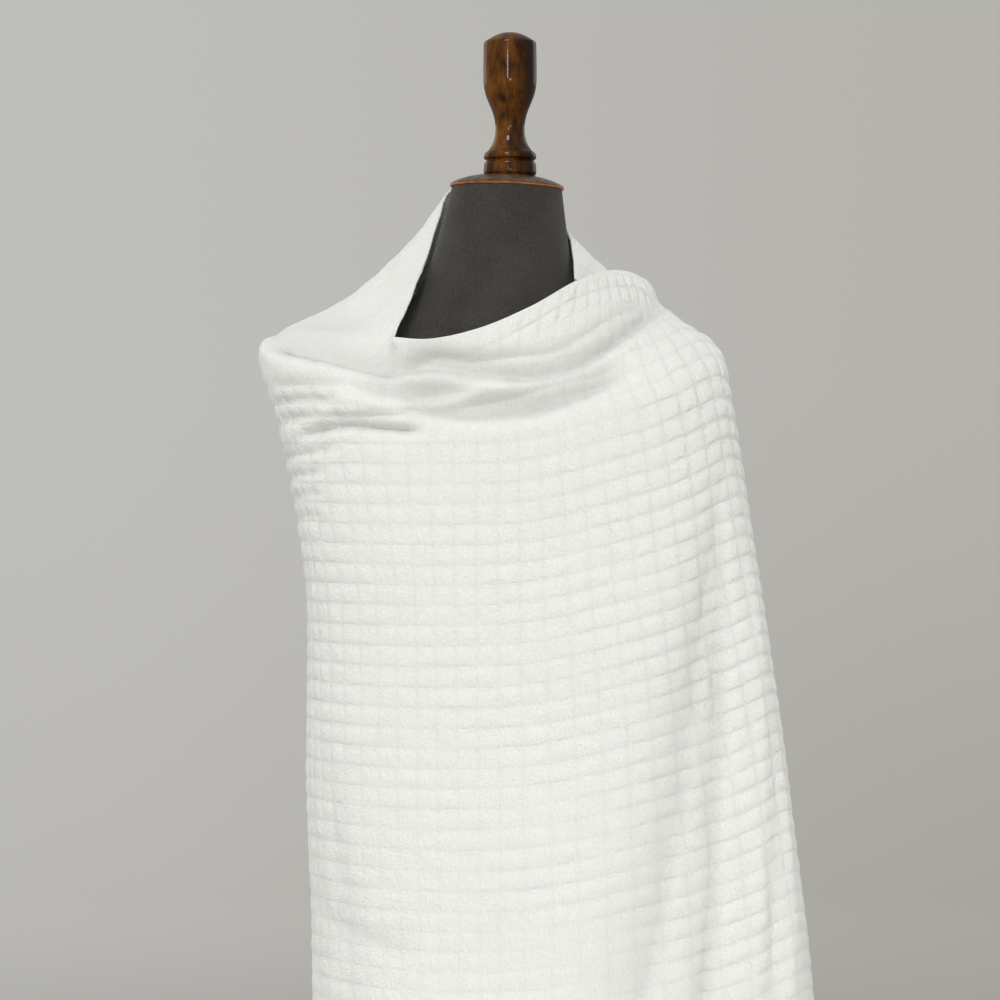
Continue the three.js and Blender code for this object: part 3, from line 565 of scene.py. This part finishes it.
def band_share(turns, depth):
    """How far each point belongs to the band under the front edge, whose rows follow that edge."""
    along_edge = smooth(*BAND_START, turns) * smooth(THROW["from"], BAND_END, turns)
    return along_edge[:, None] * smooth(NECK_BAND + BAND_JOIN, NECK_BAND - BAND_JOIN, depth)


def waffle_relief(turns, points, fall, depth):
    """How clearly the waffle shows at each point: not on hems, and faintly where the folds stretch it."""
    x, y, z = points[..., 0], points[..., 1], points[..., 2]
    band = band_share(turns, depth)
    at_left = smooth(*LEFT_EDGE["x"], x)
    chest, right, shoulder = STRETCHED_CHEST, RIGHT_BODY, RIGHT_SHOULDER
    lowest = chest["lowest"] + chest["left_lift"] * at_left
    stretched = smooth(*chest["x"], x) * smooth(lowest, lowest + chest["tall"], z) * smooth(*chest["y"], y)
    kept = BAND_IN_IT["kept"] * band * smooth(*BAND_IN_IT["x"], x)
    relief = 1 - chest["less"] * stretched * (1 - kept)
    relief *= 1 - BAND_SEAM["less"] * smooth(*BAND_SEAM["share"], band * (1 - band))
    relief *= LOWER_BODY["least"] + (1 - LOWER_BODY["least"]) * smooth(*LOWER_BODY["z"], z)
    on_shoulder = smooth(*shoulder["x"], x) * smooth(*shoulder["z"], z)
    relief *= right["least"] + right["more"] * smooth(*right["x"], x) + shoulder["more"] * on_shoulder
    relief *= 1 + LEFT_EDGE["more"] * at_left + band
    relief *= smooth(EDGE_BAND, EDGE_BAND + BAND_BLEND, depth)
    relief *= smooth(HEM_BELOW_DATUM - HEM_BAND, HEM_BELOW_DATUM - HEM_BAND - BAND_BLEND, fall)
    for end in (turns[0], turns[-1]):
        relief *= smooth(HEM_BAND, HEM_BAND + BAND_BLEND, np.abs(turns - end) * TURN_LENGTH)[:, None]
    return relief


def waffle_places(turns, fall, depth):
    """Where each point lies in the waffle, in cells: along the cloth and down it."""
    across = np.broadcast_to((turns * TURN_LENGTH / CELL_WIDE)[:, None], fall.shape)
    down = fall / CELL_TALL
    edge_to_datum = depth[:, :1] - fall[:, :1]
    first = edge_to_datum[np.searchsorted(turns, BAND_START[1])]
    rows_off = (edge_to_datum - first) / CELL_TALL + first / CELL_TALL % 1
    down = down + rows_off * band_share(turns, depth)
    across = across + CELL_WOBBLE * drift(across / 3, down / 4, 1)
    down = down + CELL_WOBBLE * drift(across / 5, down / 3, 2)
    return across, down


def pillow(places):
    """1 in the middle of a cell, 0 in the middle of the valley between two."""
    return 1 - np.abs(np.mod(places, 1) * 2 - 1) ** PILLOW_SHARP


def rim(edge, beside, normal):
    """Points round the turned edge, from the side that normal points to, to the other one."""
    out = edge - beside
    out -= normal * np.sum(out * normal, axis=1, keepdims=True)
    out /= np.linalg.norm(out, axis=1, keepdims=True)
    angles = (np.arange(RIM_STEPS) + 1) / (RIM_STEPS + 1) * math.pi
    half = CLOTH_WALL / 2
    return np.stack([edge + half * (normal * math.cos(a) + out * math.sin(a)) for a in angles], axis=1)


def column_turns():
    """The places of all the cloth's columns on the turn, and how many steps each stretch has."""
    turns = [np.array([STRETCHES[0]["from"]])]
    counts = []
    for stretch in STRETCHES:
        count = round((stretch["to"] - stretch["from"]) * TURN_LENGTH / stretch["step"])
        turns.append(np.linspace(stretch["from"], stretch["to"], count + 1)[1:])
        counts.append(count)
    return np.concatenate(turns), counts


def uneven_rise(turns, points, fall, depth):
    """How far the cloth's unevenness moves each point, with the puckers and the swell of the left slope."""
    place, height = turns[:, None], points[..., 2]
    rise = SWAY["high"] * drift(place * SWAY["in_a_turn"], height / SWAY["tall"], 3)
    rise = rise + RIPPLE["high"] * drift(place * TURN_LENGTH / RIPPLE["wide"], fall / RIPPLE["tall"], 4)
    slope = smooth(*SLOPE["begins"], place) * smooth(*SLOPE["ends"], place) * smooth(*SLOPE["depth"], depth)
    pucker = drift(place * TURN_LENGTH / PUCKER["wide"], depth / PUCKER["tall"], 6)
    rise += PUCKER["high"] * slope * (1 + pucker)
    swell = bell(height - SLOPE_SWELL["height"], SLOPE_SWELL["wide"], 2)
    return rise + SLOPE_SWELL["rise"] * slope * swell * smooth(*SLOPE_SWELL["depth"], depth)


def round_the_wall(outside, hem, inside, top):
    """Joins values down a column's outside, round the hem, up its inside and round the top edge."""
    return np.concatenate([outside, hem, inside[:, ::-1], top], axis=1)


def fine_cloth():
    """Loops of points round the cloth's wall, one a column, with their normals and the values for looks."""
    turns, counts = column_turns()
    plain, fall, depth = plain_cloth(turns)
    soften_corner(plain, turns, depth)
    chest, falls = chest_rise(plain), fall_rise(turns, plain)
    rise = chest + falls + LAYER_LIFT * smooth(*LAYER_TURNS, turns)[:, None]
    rise += uneven_rise(turns, plain, fall, depth)
    folded = plain + grid_normals(plain) * rise[..., None]
    normals = grid_normals(folded)
    across, down = waffle_places(turns, fall, depth)
    relief = waffle_relief(turns, plain, fall, depth)
    # crease is a painted shade for the creases and falls, by their depth
    crease = np.clip(-chest / CREASE_FULL, 0, 1) + FALL_SHADE * np.clip(-falls / CREASE_FULL, 0, 1)
    sunk = PILLOW_HIGH * relief * (1 - pillow(across) * pillow(down))
    half = CLOTH_WALL / 2
    outer = folded + normals * (half - sunk)[..., None]
    inner = folded - normals * (half - INSIDE_SUNK * sunk)[..., None]
    hem = rim(folded[:, -1], folded[:, -2], normals[:, -1])
    top = rim(folded[:, 0], folded[:, 1], -normals[:, 0])
    points = round_the_wall(outer, hem, inner, top)
    looks = []
    for value in (across, down, relief, crease):
        last, first = np.repeat(value[:, -1:], RIM_STEPS, 1), np.repeat(value[:, :1], RIM_STEPS, 1)
        looks.append(round_the_wall(value, last, value, first))
    return counts, points, grid_normals(points, wraps=True), looks


def add_object(name, data):
    added = bpy.data.objects.new(name, data)
    bpy.context.scene.collection.objects.link(added)
    return added


def make_mesh(name, points, faces):
    """A smooth-shaded mesh object from points in millimetres and an array of faces of one size."""
    mesh = bpy.data.meshes.new(name)
    size = faces.shape[1]
    mesh.vertices.add(len(points))
    mesh.vertices.foreach_set("co", (points * MM).astype(np.float32).ravel())
    mesh.loops.add(faces.size)
    mesh.loops.foreach_set("vertex_index", faces.astype(np.int32).ravel())
    mesh.polygons.add(len(faces))
    mesh.polygons.foreach_set("loop_start", np.arange(0, faces.size, size, dtype=np.int32))
    mesh.polygons.foreach_set("use_smooth", np.ones(len(faces), bool))
    mesh.update(calc_edges=True)
    mesh.validate()
    return add_object(name, mesh)


def end_ladder(rows):
    """Pairs of places on a column's loop that face each other across the cloth's thickness."""
    half = RIM_STEPS // 2
    one = [2 * rows + 2 * RIM_STEPS - 1 - q for q in reversed(range(half))]
    other = [2 * rows + RIM_STEPS + q for q in reversed(range(half))]
    one += list(range(rows)) + [rows + q for q in range(half)]
    other += [2 * rows + RIM_STEPS - 1 - j for j in range(rows)]
    other += [rows + RIM_STEPS - 1 - q for q in range(half)]
    return np.array(one), np.array(other)


def cloth_piece(name, points, normals, looks, material):
    """One closed stretch of the cloth, with the normals of the whole cloth so that no seam shows."""
    columns, loop = points.shape[:2]
    index = np.arange(columns * loop).reshape(columns, loop)
    after = np.roll(index, -1, axis=1)
    faces = [np.stack([index[:-1], after[:-1], after[1:], index[1:]], axis=-1).reshape(-1, 4)]
    one, other = end_ladder((loop - 2 * RIM_STEPS) // 2)
    all_points, all_normals = [points.reshape(-1, 3)], [normals.reshape(-1, 3)]
    for number, (here, beside) in enumerate(((0, 1), (columns - 1, columns - 2))):
        away = points[here] - points[beside]
        all_points.append(points[here])
        all_normals.append(away / np.linalg.norm(away, axis=1, keepdims=True))
        ladder = [one[:-1], other[:-1], other[1:], one[1:]]
        if number:
            ladder.reverse()
        faces.append(np.stack(ladder, axis=-1) + (columns + number) * loop)
    piece = make_mesh(name, np.concatenate(all_points), np.concatenate(faces))
    mesh = piece.data
    mesh.normals_split_custom_set_from_vertices(np.concatenate(all_normals))
    looks = [np.concatenate([value.reshape(-1), value[0], value[-1]]) for value in looks]
    across, down, relief, crease = looks
    corner = np.zeros(len(mesh.loops), np.int32)
    mesh.loops.foreach_get("vertex_index", corner)
    places = np.stack([across[corner], down[corner]], axis=1).astype(np.float32)
    mesh.uv_layers.new(name="waffle").data.foreach_set("uv", places.ravel())
    # the crease layer carries the painted shade of the folds
    for layer, value in (("relief", relief), ("crease", crease)):
        mesh.attributes.new(layer, "FLOAT", "POINT").data.foreach_set("value", value.astype(np.float32))
    mesh.materials.append(material)
    return piece


def add_cloth(material):
    """The six stretches, each riding in place of its CAD node."""
    counts, points, normals, looks = fine_cloth()
    first = 0
    for stretch, count in zip(STRETCHES, counts):
        name = stretch["name"]
        part = slice(first, first + count + 1)
        own = points[part].copy()
        for here, beside in ((0, 1), (-1, -2)):
            towards = own[beside] - own[here]
            own[here] += towards / np.linalg.norm(towards, axis=1, keepdims=True) * SEAM_GAP / 2
        piece = cloth_piece("cloth_" + name, own, normals[part], [value[part] for value in looks], material)
        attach(piece, "root")
        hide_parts(name)
        first += count


# ---- Shaders ----
class Surface:
    """A material, with short ways to add nodes. A noise's scale is in steps to a metre, or to a cell."""

    def __init__(self, name, color, roughness, **sockets):
        """A socket's name is written with _ for a space."""
        self.material = bpy.data.materials.new(name)
        self.material.use_nodes = True
        self.tree = self.material.node_tree
        self.shader = self.tree.nodes["Principled BSDF"]
        self.give("Base Color", color)
        self.give("Roughness", roughness)
        for socket, value in sockets.items():
            self.give(socket.replace("_", " "), value)

    def give(self, name, value):
        """Sets or links one socket of the shader."""
        self.fill(self.shader.inputs[name], value)

    def fill(self, socket, value):
        """Links a socket to another node's output, or gives it a number, a vector or a colour."""
        if isinstance(value, bpy.types.NodeSocket):
            self.tree.links.new(value, socket)
        elif socket.type == "RGBA":
            socket.default_value = (*value, 1)
        else:
            socket.default_value = value

    def add(self, kind, inputs=None, **settings):
        """A new node, with inputs by name or number."""
        node = self.tree.nodes.new("ShaderNode" + kind)
        for name, value in settings.items():
            setattr(node, name, value)
        for name, value in (inputs or {}).items():
            self.fill(node.inputs[name], value)
        return node

    def attribute(self, name):
        return self.add("Attribute", attribute_name=name).outputs["Fac"]

    def place(self):
        """The point itself, in metres."""
        return self.add("TexCoord").outputs["Object"]

    def parts(self, vector):
        return self.add("SeparateXYZ", {"Vector": vector}).outputs

    def math(self, operation, *values):
        return self.add("Math", dict(enumerate(values)), operation=operation).outputs[0]

    def span(self, value, low, high, to_low=0.0, to_high=1.0):
        """A soft step from one number to another as value goes from low to high."""
        inputs = {"Value": value, "From Min": low, "From Max": high, "To Min": to_low, "To Max": to_high}
        return self.add("MapRange", inputs, interpolation_type="SMOOTHSTEP").outputs["Result"]

    def noise(self, scale, detail=3.0, vector=None, roughness=0.5, output="Fac"):
        inputs = {"Scale": scale, "Detail": detail, "Roughness": roughness}
        return self.add("TexNoise", {**inputs, "Vector": vector or self.place()}).outputs[output]

    def mix(self, share, one, other):
        """A colour between two."""
        node = self.add("Mix", {"Factor": share}, data_type="RGBA")
        colors = [socket for socket in node.inputs if socket.type == "RGBA"]
        self.fill(colors[0], one)
        self.fill(colors[1], other)
        return next(socket for socket in node.outputs if socket.type == "RGBA")

    def bump(self, height, distance):
        node = self.add("Bump", {"Strength": 1, "Distance": distance, "Height": height})
        self.give("Normal", node.outputs["Normal"])


def cell_profile(surface, place, sharp):
    """1 across the middle of a cell, falling to 0 at its edges."""
    away = surface.math("MULTIPLY_ADD", surface.math("FRACT", place), 2, -1)
    away = surface.math("POWER", surface.math("ABSOLUTE", away), sharp)
    return surface.math("SUBTRACT", 1, away)


def waffle_cloth():
    """White cotton in a waffle weave: soft raised cells with fine ribs, valleys between them, a fuzzy nap,
    and painted shade in its valleys and creases.
    """
    cloth = Surface("white_waffle_cotton", CLOTH_WHITE, 0.95,
                    Sheen_Weight=0.2, Sheen_Roughness=0.6, Specular_IOR_Level=0.15)
    places = cloth.add("UVMap", uv_map="waffle").outputs["UV"]
    relief = cloth.attribute("relief")
    crease = cloth.attribute("crease")
    wander = cloth.noise(CELL_WANDER["in_a_cell"], 3, places, output="Color")
    shifted = cloth.add("VectorMath", {0: wander, 1: CELL_WANDER["by"], 2: places}, operation="MULTIPLY_ADD")
    across, down, _ = cloth.parts(shifted.outputs["Vector"])
    upright = cell_profile(cloth, across, CELL_SHARP["upright"])
    level = cell_profile(cloth, down, CELL_SHARP["level"])
    cell = cloth.math("MULTIPLY", upright, level)
    worn = cloth.span(cloth.noise(CELL_WEAR["in_a_cell"], 2, places), *NOISE_SPAN, CELL_WEAR["least"], 1)
    worn = cloth.math("MULTIPLY", worn, relief)
    # painted shade in the valleys between the cells
    valley = cloth.math("MULTIPLY_ADD", upright, -VALLEY_SHADE["less_upright"], VALLEY_SHADE["most"])
    valley = cloth.math("MULTIPLY_ADD", level, -VALLEY_SHADE["less_level"], valley)
    valley = cloth.math("MULTIPLY", valley, worn)
    cell = cloth.math("MULTIPLY", cell, worn)
    streaks = cloth.add("Mapping", {"Scale": (RIBS_A_CELL, 2, 1), "Vector": places})
    ribs = cloth.noise(1, 2, streaks.outputs["Vector"])
    loops = cloth.noise(LOOPS_A_METRE, 3, roughness=0.6)
    tufts = cloth.noise(TUFTS_A_METRE, 3, roughness=0.65)
    height = cloth.math("MULTIPLY", cell, CELL_BUMP)
    for layer, amount in ((ribs, RIB_BUMP), (loops, LOOP_BUMP), (tufts, TUFT_BUMP)):
        height = cloth.math("MULTIPLY_ADD", layer, amount, height)
    cloth.bump(height, MM)
    # the painted shade of creases and valleys darkens the white
    shade = cloth.math("MULTIPLY_ADD", crease, CREASE_SHADE, valley)
    tint = cloth.mix(shade, CLOTH_WHITE, CLOTH_SHADE_AND_SPECK_GREY)
    speck = cloth.span(tufts, *TUFT_SPAN, 0, TUFT_SHADE)
    cloth.give("Base Color", cloth.mix(speck, tint, CLOTH_SHADE_AND_SPECK_GREY))
    return cloth.material


def charcoal_jersey():
    """The form's cover: dark grey jersey with a fine knit and a faint uneven fade."""
    jersey = Surface("charcoal_jersey", JERSEY_PALE, 0.95,
                     Sheen_Weight=0.08, Sheen_Roughness=0.5, Specular_IOR_Level=0.3)
    fade = jersey.span(jersey.noise(14, 3), *NOISE_SPAN)
    speck = jersey.span(jersey.noise(480, 2), *NOISE_SPAN, -0.5, 0.5)
    fade = jersey.math("ADD", fade, speck)
    jersey.give("Base Color", jersey.mix(fade, JERSEY_DARK, JERSEY_PALE))
    knit = jersey.add("TexWave", {"Scale": 160, "Distortion": 2, "Detail": 1, "Vector": jersey.place()})
    jersey.bump(jersey.math("ADD", knit.outputs["Fac"], jersey.noise(900, 2)), KNIT_BUMP * MM)
    return jersey.material


def stained_wood(name, pale, dark, line_below=None, painted_side_shade=False):
    """Turned wood under glossy brown varnish, streaked along its height.

    line_below, a height, adds the copper-red line round the cap's rim. Asked to, it also paints shade down
    the wood's two sides, darker away from its middle across x.
    """
    wood = Surface(name, dark, 0.5, Coat_Weight=0.34, Coat_Roughness=0.09, Specular_IOR_Level=0.02)
    place = wood.place()
    along = wood.add("Mapping", {"Scale": GRAIN_STRETCH, "Vector": place}).outputs["Vector"]
    streaks = wood.noise(WOOD_STREAKS["a_metre"], 5, along, 0.6)
    blotches = wood.noise(WOOD_BLOTCHES["a_metre"], 2, along)
    streaks = wood.math("MULTIPLY", streaks, WOOD_STREAKS["share"])
    blotches = wood.math("MULTIPLY", blotches, WOOD_BLOTCHES["share"])
    amount = wood.span(wood.math("ADD", streaks, blotches), *WOOD_SPAN)
    across, _, up = wood.parts(place)
    # painted shade: the wood darkens towards its two sides across x
    if painted_side_shade:
        away = wood.math("ABSOLUTE", wood.math("SUBTRACT", across, PAINTED_SIDE_SHADE["middle"]))
        amount = wood.math("MULTIPLY", amount, wood.span(away, *PAINTED_SIDE_SHADE["away"], 1, 0))
    tint = wood.mix(amount, dark, pale)
    if line_below is not None:
        height = wood.math("ADD", up, wood.math("MULTIPLY", across, math.tan(NECK_TILT)))
        rim_line = wood.span(height, (line_below - RIM_LINE_BLUR) * MM, line_below * MM, 1, 0)
        worn = wood.noise(RIM_LINE_WEAR["a_metre"], 2)
        worn = wood.span(worn, *RIM_LINE_WEAR["span"], RIM_LINE_WEAR["least"], 1)
        tint = wood.mix(wood.math("MULTIPLY", rim_line, worn), tint, RIM_COPPER)
    wood.give("Base Color", tint)
    wood.bump(wood.noise(WOOD_PORES, 2, along), PORE_BUMP * MM)
    return wood.material


def satin_paint():
    """Black powder coat with a fine orange peel."""
    paint = Surface("black_satin_paint", PAINT_BLACK, 0.42)
    paint.bump(paint.noise(600, 2), PEEL_BUMP * MM)
    paint.give("Roughness", paint.span(paint.noise(30, 4), *NOISE_SPAN, 0.36, 0.5))
    return paint.material


# ---- Bodies ----
def loft(name, rings):
    """A closed body through rings of points, closed flat at both ends."""
    count, sides = rings.shape[:2]
    index = np.arange(count * sides).reshape(count, sides)
    after = np.roll(index, -1, axis=1)
    faces = np.stack([index[:-1], after[:-1], after[1:], index[1:]], axis=-1).reshape(-1, 4)
    return make_mesh(name, rings.reshape(-1, 3), faces)


def finish_piece(piece, material, node):
    """Sets the material, keeps hard corners hard and puts the piece in its node's place."""
    piece.data.materials.append(material)
    piece.data.validate()
    piece.data.set_sharp_from_angle(angle=HARD_CORNER)
    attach(piece, "root")
    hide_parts(node)


def round_steps(count):
    """Angles all the way round, in so many steps."""
    return np.linspace(0, 2 * math.pi, count, endpoint=False)


def turned_rings(outline, sides, tilt=0.0):
    """Rings of points from pairs of radius and height, tilted about the y axis."""
    radius, height = np.array(outline, float).T
    angle = round_steps(sides)[None, :]
    x, y = radius[:, None] * np.cos(angle), radius[:, None] * np.sin(angle)
    z = np.broadcast_to(height[:, None], x.shape)
    if tilt:
        x, z = x * math.cos(tilt) + z * math.sin(tilt), z * math.cos(tilt) - x * math.sin(tilt)
    return np.stack([x, y, z], axis=-1)


def turned(name, outline, material, node, tilt=0.0, at=0.0, across=0.0):
    """A turned part from pairs of radius and height, from the axis round to the axis."""
    rings = turned_rings(outline, TURNED_SIDES, tilt) + (across, 0, at)
    finish_piece(loft(name, rings), material, node)


def form_torso(material):
    """The padded torso and neck."""
    heights = np.linspace(TORSO_BOTTOM, NECK_TOP, FORM_RINGS + 1)
    keys = column_of(FORM_SECTIONS, "height")
    reaches = [spline(keys, column_of(FORM_SECTIONS, name), heights)[:, None] - FORM_INSET for name in SIDES]
    square = spline(keys, column_of(FORM_SECTIONS, "square"), heights)[:, None]
    x, y = plan_point(*reaches, square, round_steps(FORM_SIDES)[None, :])
    lean = smooth(NECK_TOP - NECK_LEAN_TALL, NECK_TOP, heights)[:, None] * math.tan(NECK_TILT)
    rings = np.stack([x, y, heights[:, None] - x * lean], axis=-1)
    bottom, top = rings[:1], rings[-1:]
    rings = np.concatenate([bottom * (0, 0, 1), bottom, rings, top, top * 0 + (0, 0, NECK_TOP)])
    finish_piece(loft("form_cover", rings), material, "form_torso")


def fine_outline(rows):
    """A smooth outline through rows of radius and rise; a row marked corner keeps its corner."""
    fine = []
    start = 0
    for end in range(1, len(rows)):
        if not rows[end]["corner"] and end < len(rows) - 1:
            continue
        points = np.array([[row["radius"], row["rise"]] for row in rows[start:end + 1]], float)
        if len(points) == 2:
            fine += [points[0]]
        else:
            keys = np.concatenate([[0], np.cumsum(np.linalg.norm(np.diff(points, axis=0), axis=1))])
            places = np.linspace(0, keys[-1], OUTLINE_STEPS * (len(points) - 1) + 1)[:-1]
            fine += list(spline(keys, points, places))
        start = end
    return [*fine, points[-1]]


def form_head(finial_wood, cap_wood):
    """The cap on the neck and the finial on the cap."""
    outline = [(0, 0), (CAP_RADIUS - 1, 0), (CAP_RADIUS - 0.3, 0.3)]
    outline += [(CAP_RADIUS, 1), (CAP_RADIUS, CAP_EDGE - 1)]
    flat = SEAT_HEIGHT - NECK_TOP - TOUCH_GAP
    for share in CAP_SHARES:
        height = CAP_EDGE + CAP_DOME * (1 - share * share) ** CAP_FLATNESS
        outline.append((CAP_RADIUS * share, min(height, flat)))
    outline.append((0, flat))
    turned("neck_cap_wood", outline, cap_wood, "neck_cap", tilt=NECK_TILT,
           at=NECK_TOP + TOUCH_GAP - CAP_ACROSS * math.tan(NECK_TILT), across=CAP_ACROSS)
    turned("neck_finial_wood", fine_outline(FINIAL_OUTLINE), finial_wood, "neck_finial",
           at=SEAT_HEIGHT + TOUCH_GAP, across=FINIAL_ACROSS)


def bottom_plate(wood):
    """The plate under the torso."""
    torso = FORM_SECTIONS[0]
    bottom = PLATE_TOP - PLATE_THICK
    rings = [np.tile([0.0, 0.0, bottom], (FORM_SIDES, 1))]
    for row in PLATE_EDGE:
        reaches = [torso[side] - PLATE_INSET - row["inset"] for side in SIDES]
        x, y = plan_point(*reaches, torso["square"], round_steps(FORM_SIDES))
        rings.append(np.stack([x, y, np.full_like(x, bottom + row["rise"])], axis=-1))
    rings.append(np.tile([0.0, 0.0, PLATE_TOP], (FORM_SIDES, 1)))
    finish_piece(loft("form_plate_wood", np.array(rings)), wood, "form_bottom_plate")


def stand(paint):
    """The socket under the plate, the base and the pole between them."""
    socket_bottom = SOCKET_TOP - SOCKET_TALL
    turned("stand_socket_metal", SOCKET_OUTLINE, paint, "stand_socket", at=socket_bottom)
    shoulder = BASE_SHOULDER
    start = BASE_THICK - shoulder["below_top"]
    base = [(0, 0), (BASE_RADIUS - BASE_BEVEL, 0), (BASE_RADIUS, BASE_BEVEL), (BASE_RADIUS, start)]
    for step in range(1, shoulder["steps"] + 1):
        turn = step / shoulder["steps"] * math.pi / 2
        inwards = shoulder["wide"] * (1 - math.cos(turn))
        base.append((BASE_RADIUS - inwards, start + shoulder["rise"] * math.sin(turn)))
    base += [(radius, BASE_THICK + rise) for radius, rise in BOSS_OUTLINE]
    turned("stand_base_metal", base, paint, "stand_base")
    bottom, top = BASE_THICK + BOSS_TALL + TOUCH_GAP, socket_bottom - TOUCH_GAP
    pole = [(0, bottom), (POLE_RADIUS, bottom), (POLE_RADIUS, top), (0, top)]
    turned("stand_pole_metal", pole, paint, "stand_pole")


# ---- Studio and camera ----
def sweep():
    """A pale floor that curves up into a grey wall all round. Both glow as a painted light; the glow is a
    little darker low down and to the right, and dimmer on the floor near the object.
    """
    outline = [(radius, FLOOR_HEIGHT) for radius in FLOOR_RINGS]
    for step in range(1, SWEEP_STEPS + 1):
        turn = step / SWEEP_STEPS * math.pi / 2
        rise = SWEEP_RADIUS * (1 - math.cos(turn))
        outline.append((FLOOR_RINGS[-1] + SWEEP_RADIUS * math.sin(turn), FLOOR_HEIGHT + rise))
    outline.append((FLOOR_RINGS[-1] + SWEEP_RADIUS, WALL_TOP))
    piece = loft("studio_sweep", turned_rings(outline, STUDIO_SIDES))
    grey = Surface("studio_grey", STUDIO_GREY, 1, Specular_IOR_Level=0)
    x, _, z = grey.parts(grey.place())
    # painted shade on the glow: darker to the right and low down
    right, low = grey.span(x, *WALL_RIGHT), grey.span(z, *WALL_LOW)
    shade = grey.math("MULTIPLY_ADD", grey.math("MULTIPLY", right, low), WALL_DEEPENS["low_right"],
                      grey.math("MULTIPLY", right, WALL_DEEPENS["right"]))
    shade = grey.math("MULTIPLY_ADD", low, WALL_DEEPENS["low"], shade)
    grey.give("Emission Color", grey.mix(shade, WALL_PALE, WALL_DEEP))
    away = grey.add("VectorMath", {0: grey.place()}, operation="LENGTH").outputs["Value"]
    grey.give("Emission Strength", grey.span(away, *GLOW_SPAN, FLOOR_GLOW, WALL_GLOW))
    grey.material.cycles.emission_sampling = "NONE"  # quicker: rays find so wide a glow by themselves
    piece.data.materials.append(grey.material)


def lamps():
    for light in LIGHTS:
        data = bpy.data.lights.new(light["name"], "AREA")
        data.energy = light["power"]
        data.shape, data.size, data.size_y = "RECTANGLE", light["wide"], light["tall"]
        data.spread = math.radians(light["spread"])
        lamp = add_object(light["name"], data)
        lamp.location = light["at"]
        lamp.visible_glossy = "fill" not in light["name"]
        aim = np.array([0, 0, light["aim"]]) - np.array(light["at"])
        flat = math.hypot(aim[0], aim[1])
        tip, turn = math.atan2(aim[2], flat), math.atan2(aim[1], aim[0])
        lamp.rotation_euler = (math.pi / 2 + tip, 0, turn - math.pi / 2)


def air():
    world = bpy.data.worlds.new("studio_air")
    world.use_nodes = True
    background = world.node_tree.nodes["Background"]
    background.inputs["Color"].default_value = AIR_COLOR
    background.inputs["Strength"].default_value = AIR_STRENGTH
    bpy.context.scene.world = world


def camera():
    data = bpy.data.cameras.new("camera")
    data.lens = CAMERA_LENS
    data.sensor_width = CAMERA_SENSOR
    eye = add_object("camera", data)
    eye.location = CAMERA_AT
    eye.rotation_euler = (math.pi / 2, 0, 0)
    bpy.context.scene.camera = eye


add_cloth(waffle_cloth())
form_torso(charcoal_jersey())
# the finial's wood, which the plate shares, has painted shade down its sides
brown = stained_wood("stained_wood", FINIAL_PALE, FINIAL_DARK, painted_side_shade=True)
rim_line_top = NECK_TOP + TOUCH_GAP + RIM_LINE_TALL
cap_brown = stained_wood("stained_wood_cap", CAP_PALE, CAP_DARK, line_below=rim_line_top)
form_head(brown, cap_brown)
bottom_plate(brown)
stand(satin_paint())
sweep()
lamps()
air()
camera()
bpy.context.scene.view_settings.view_transform = "Standard"
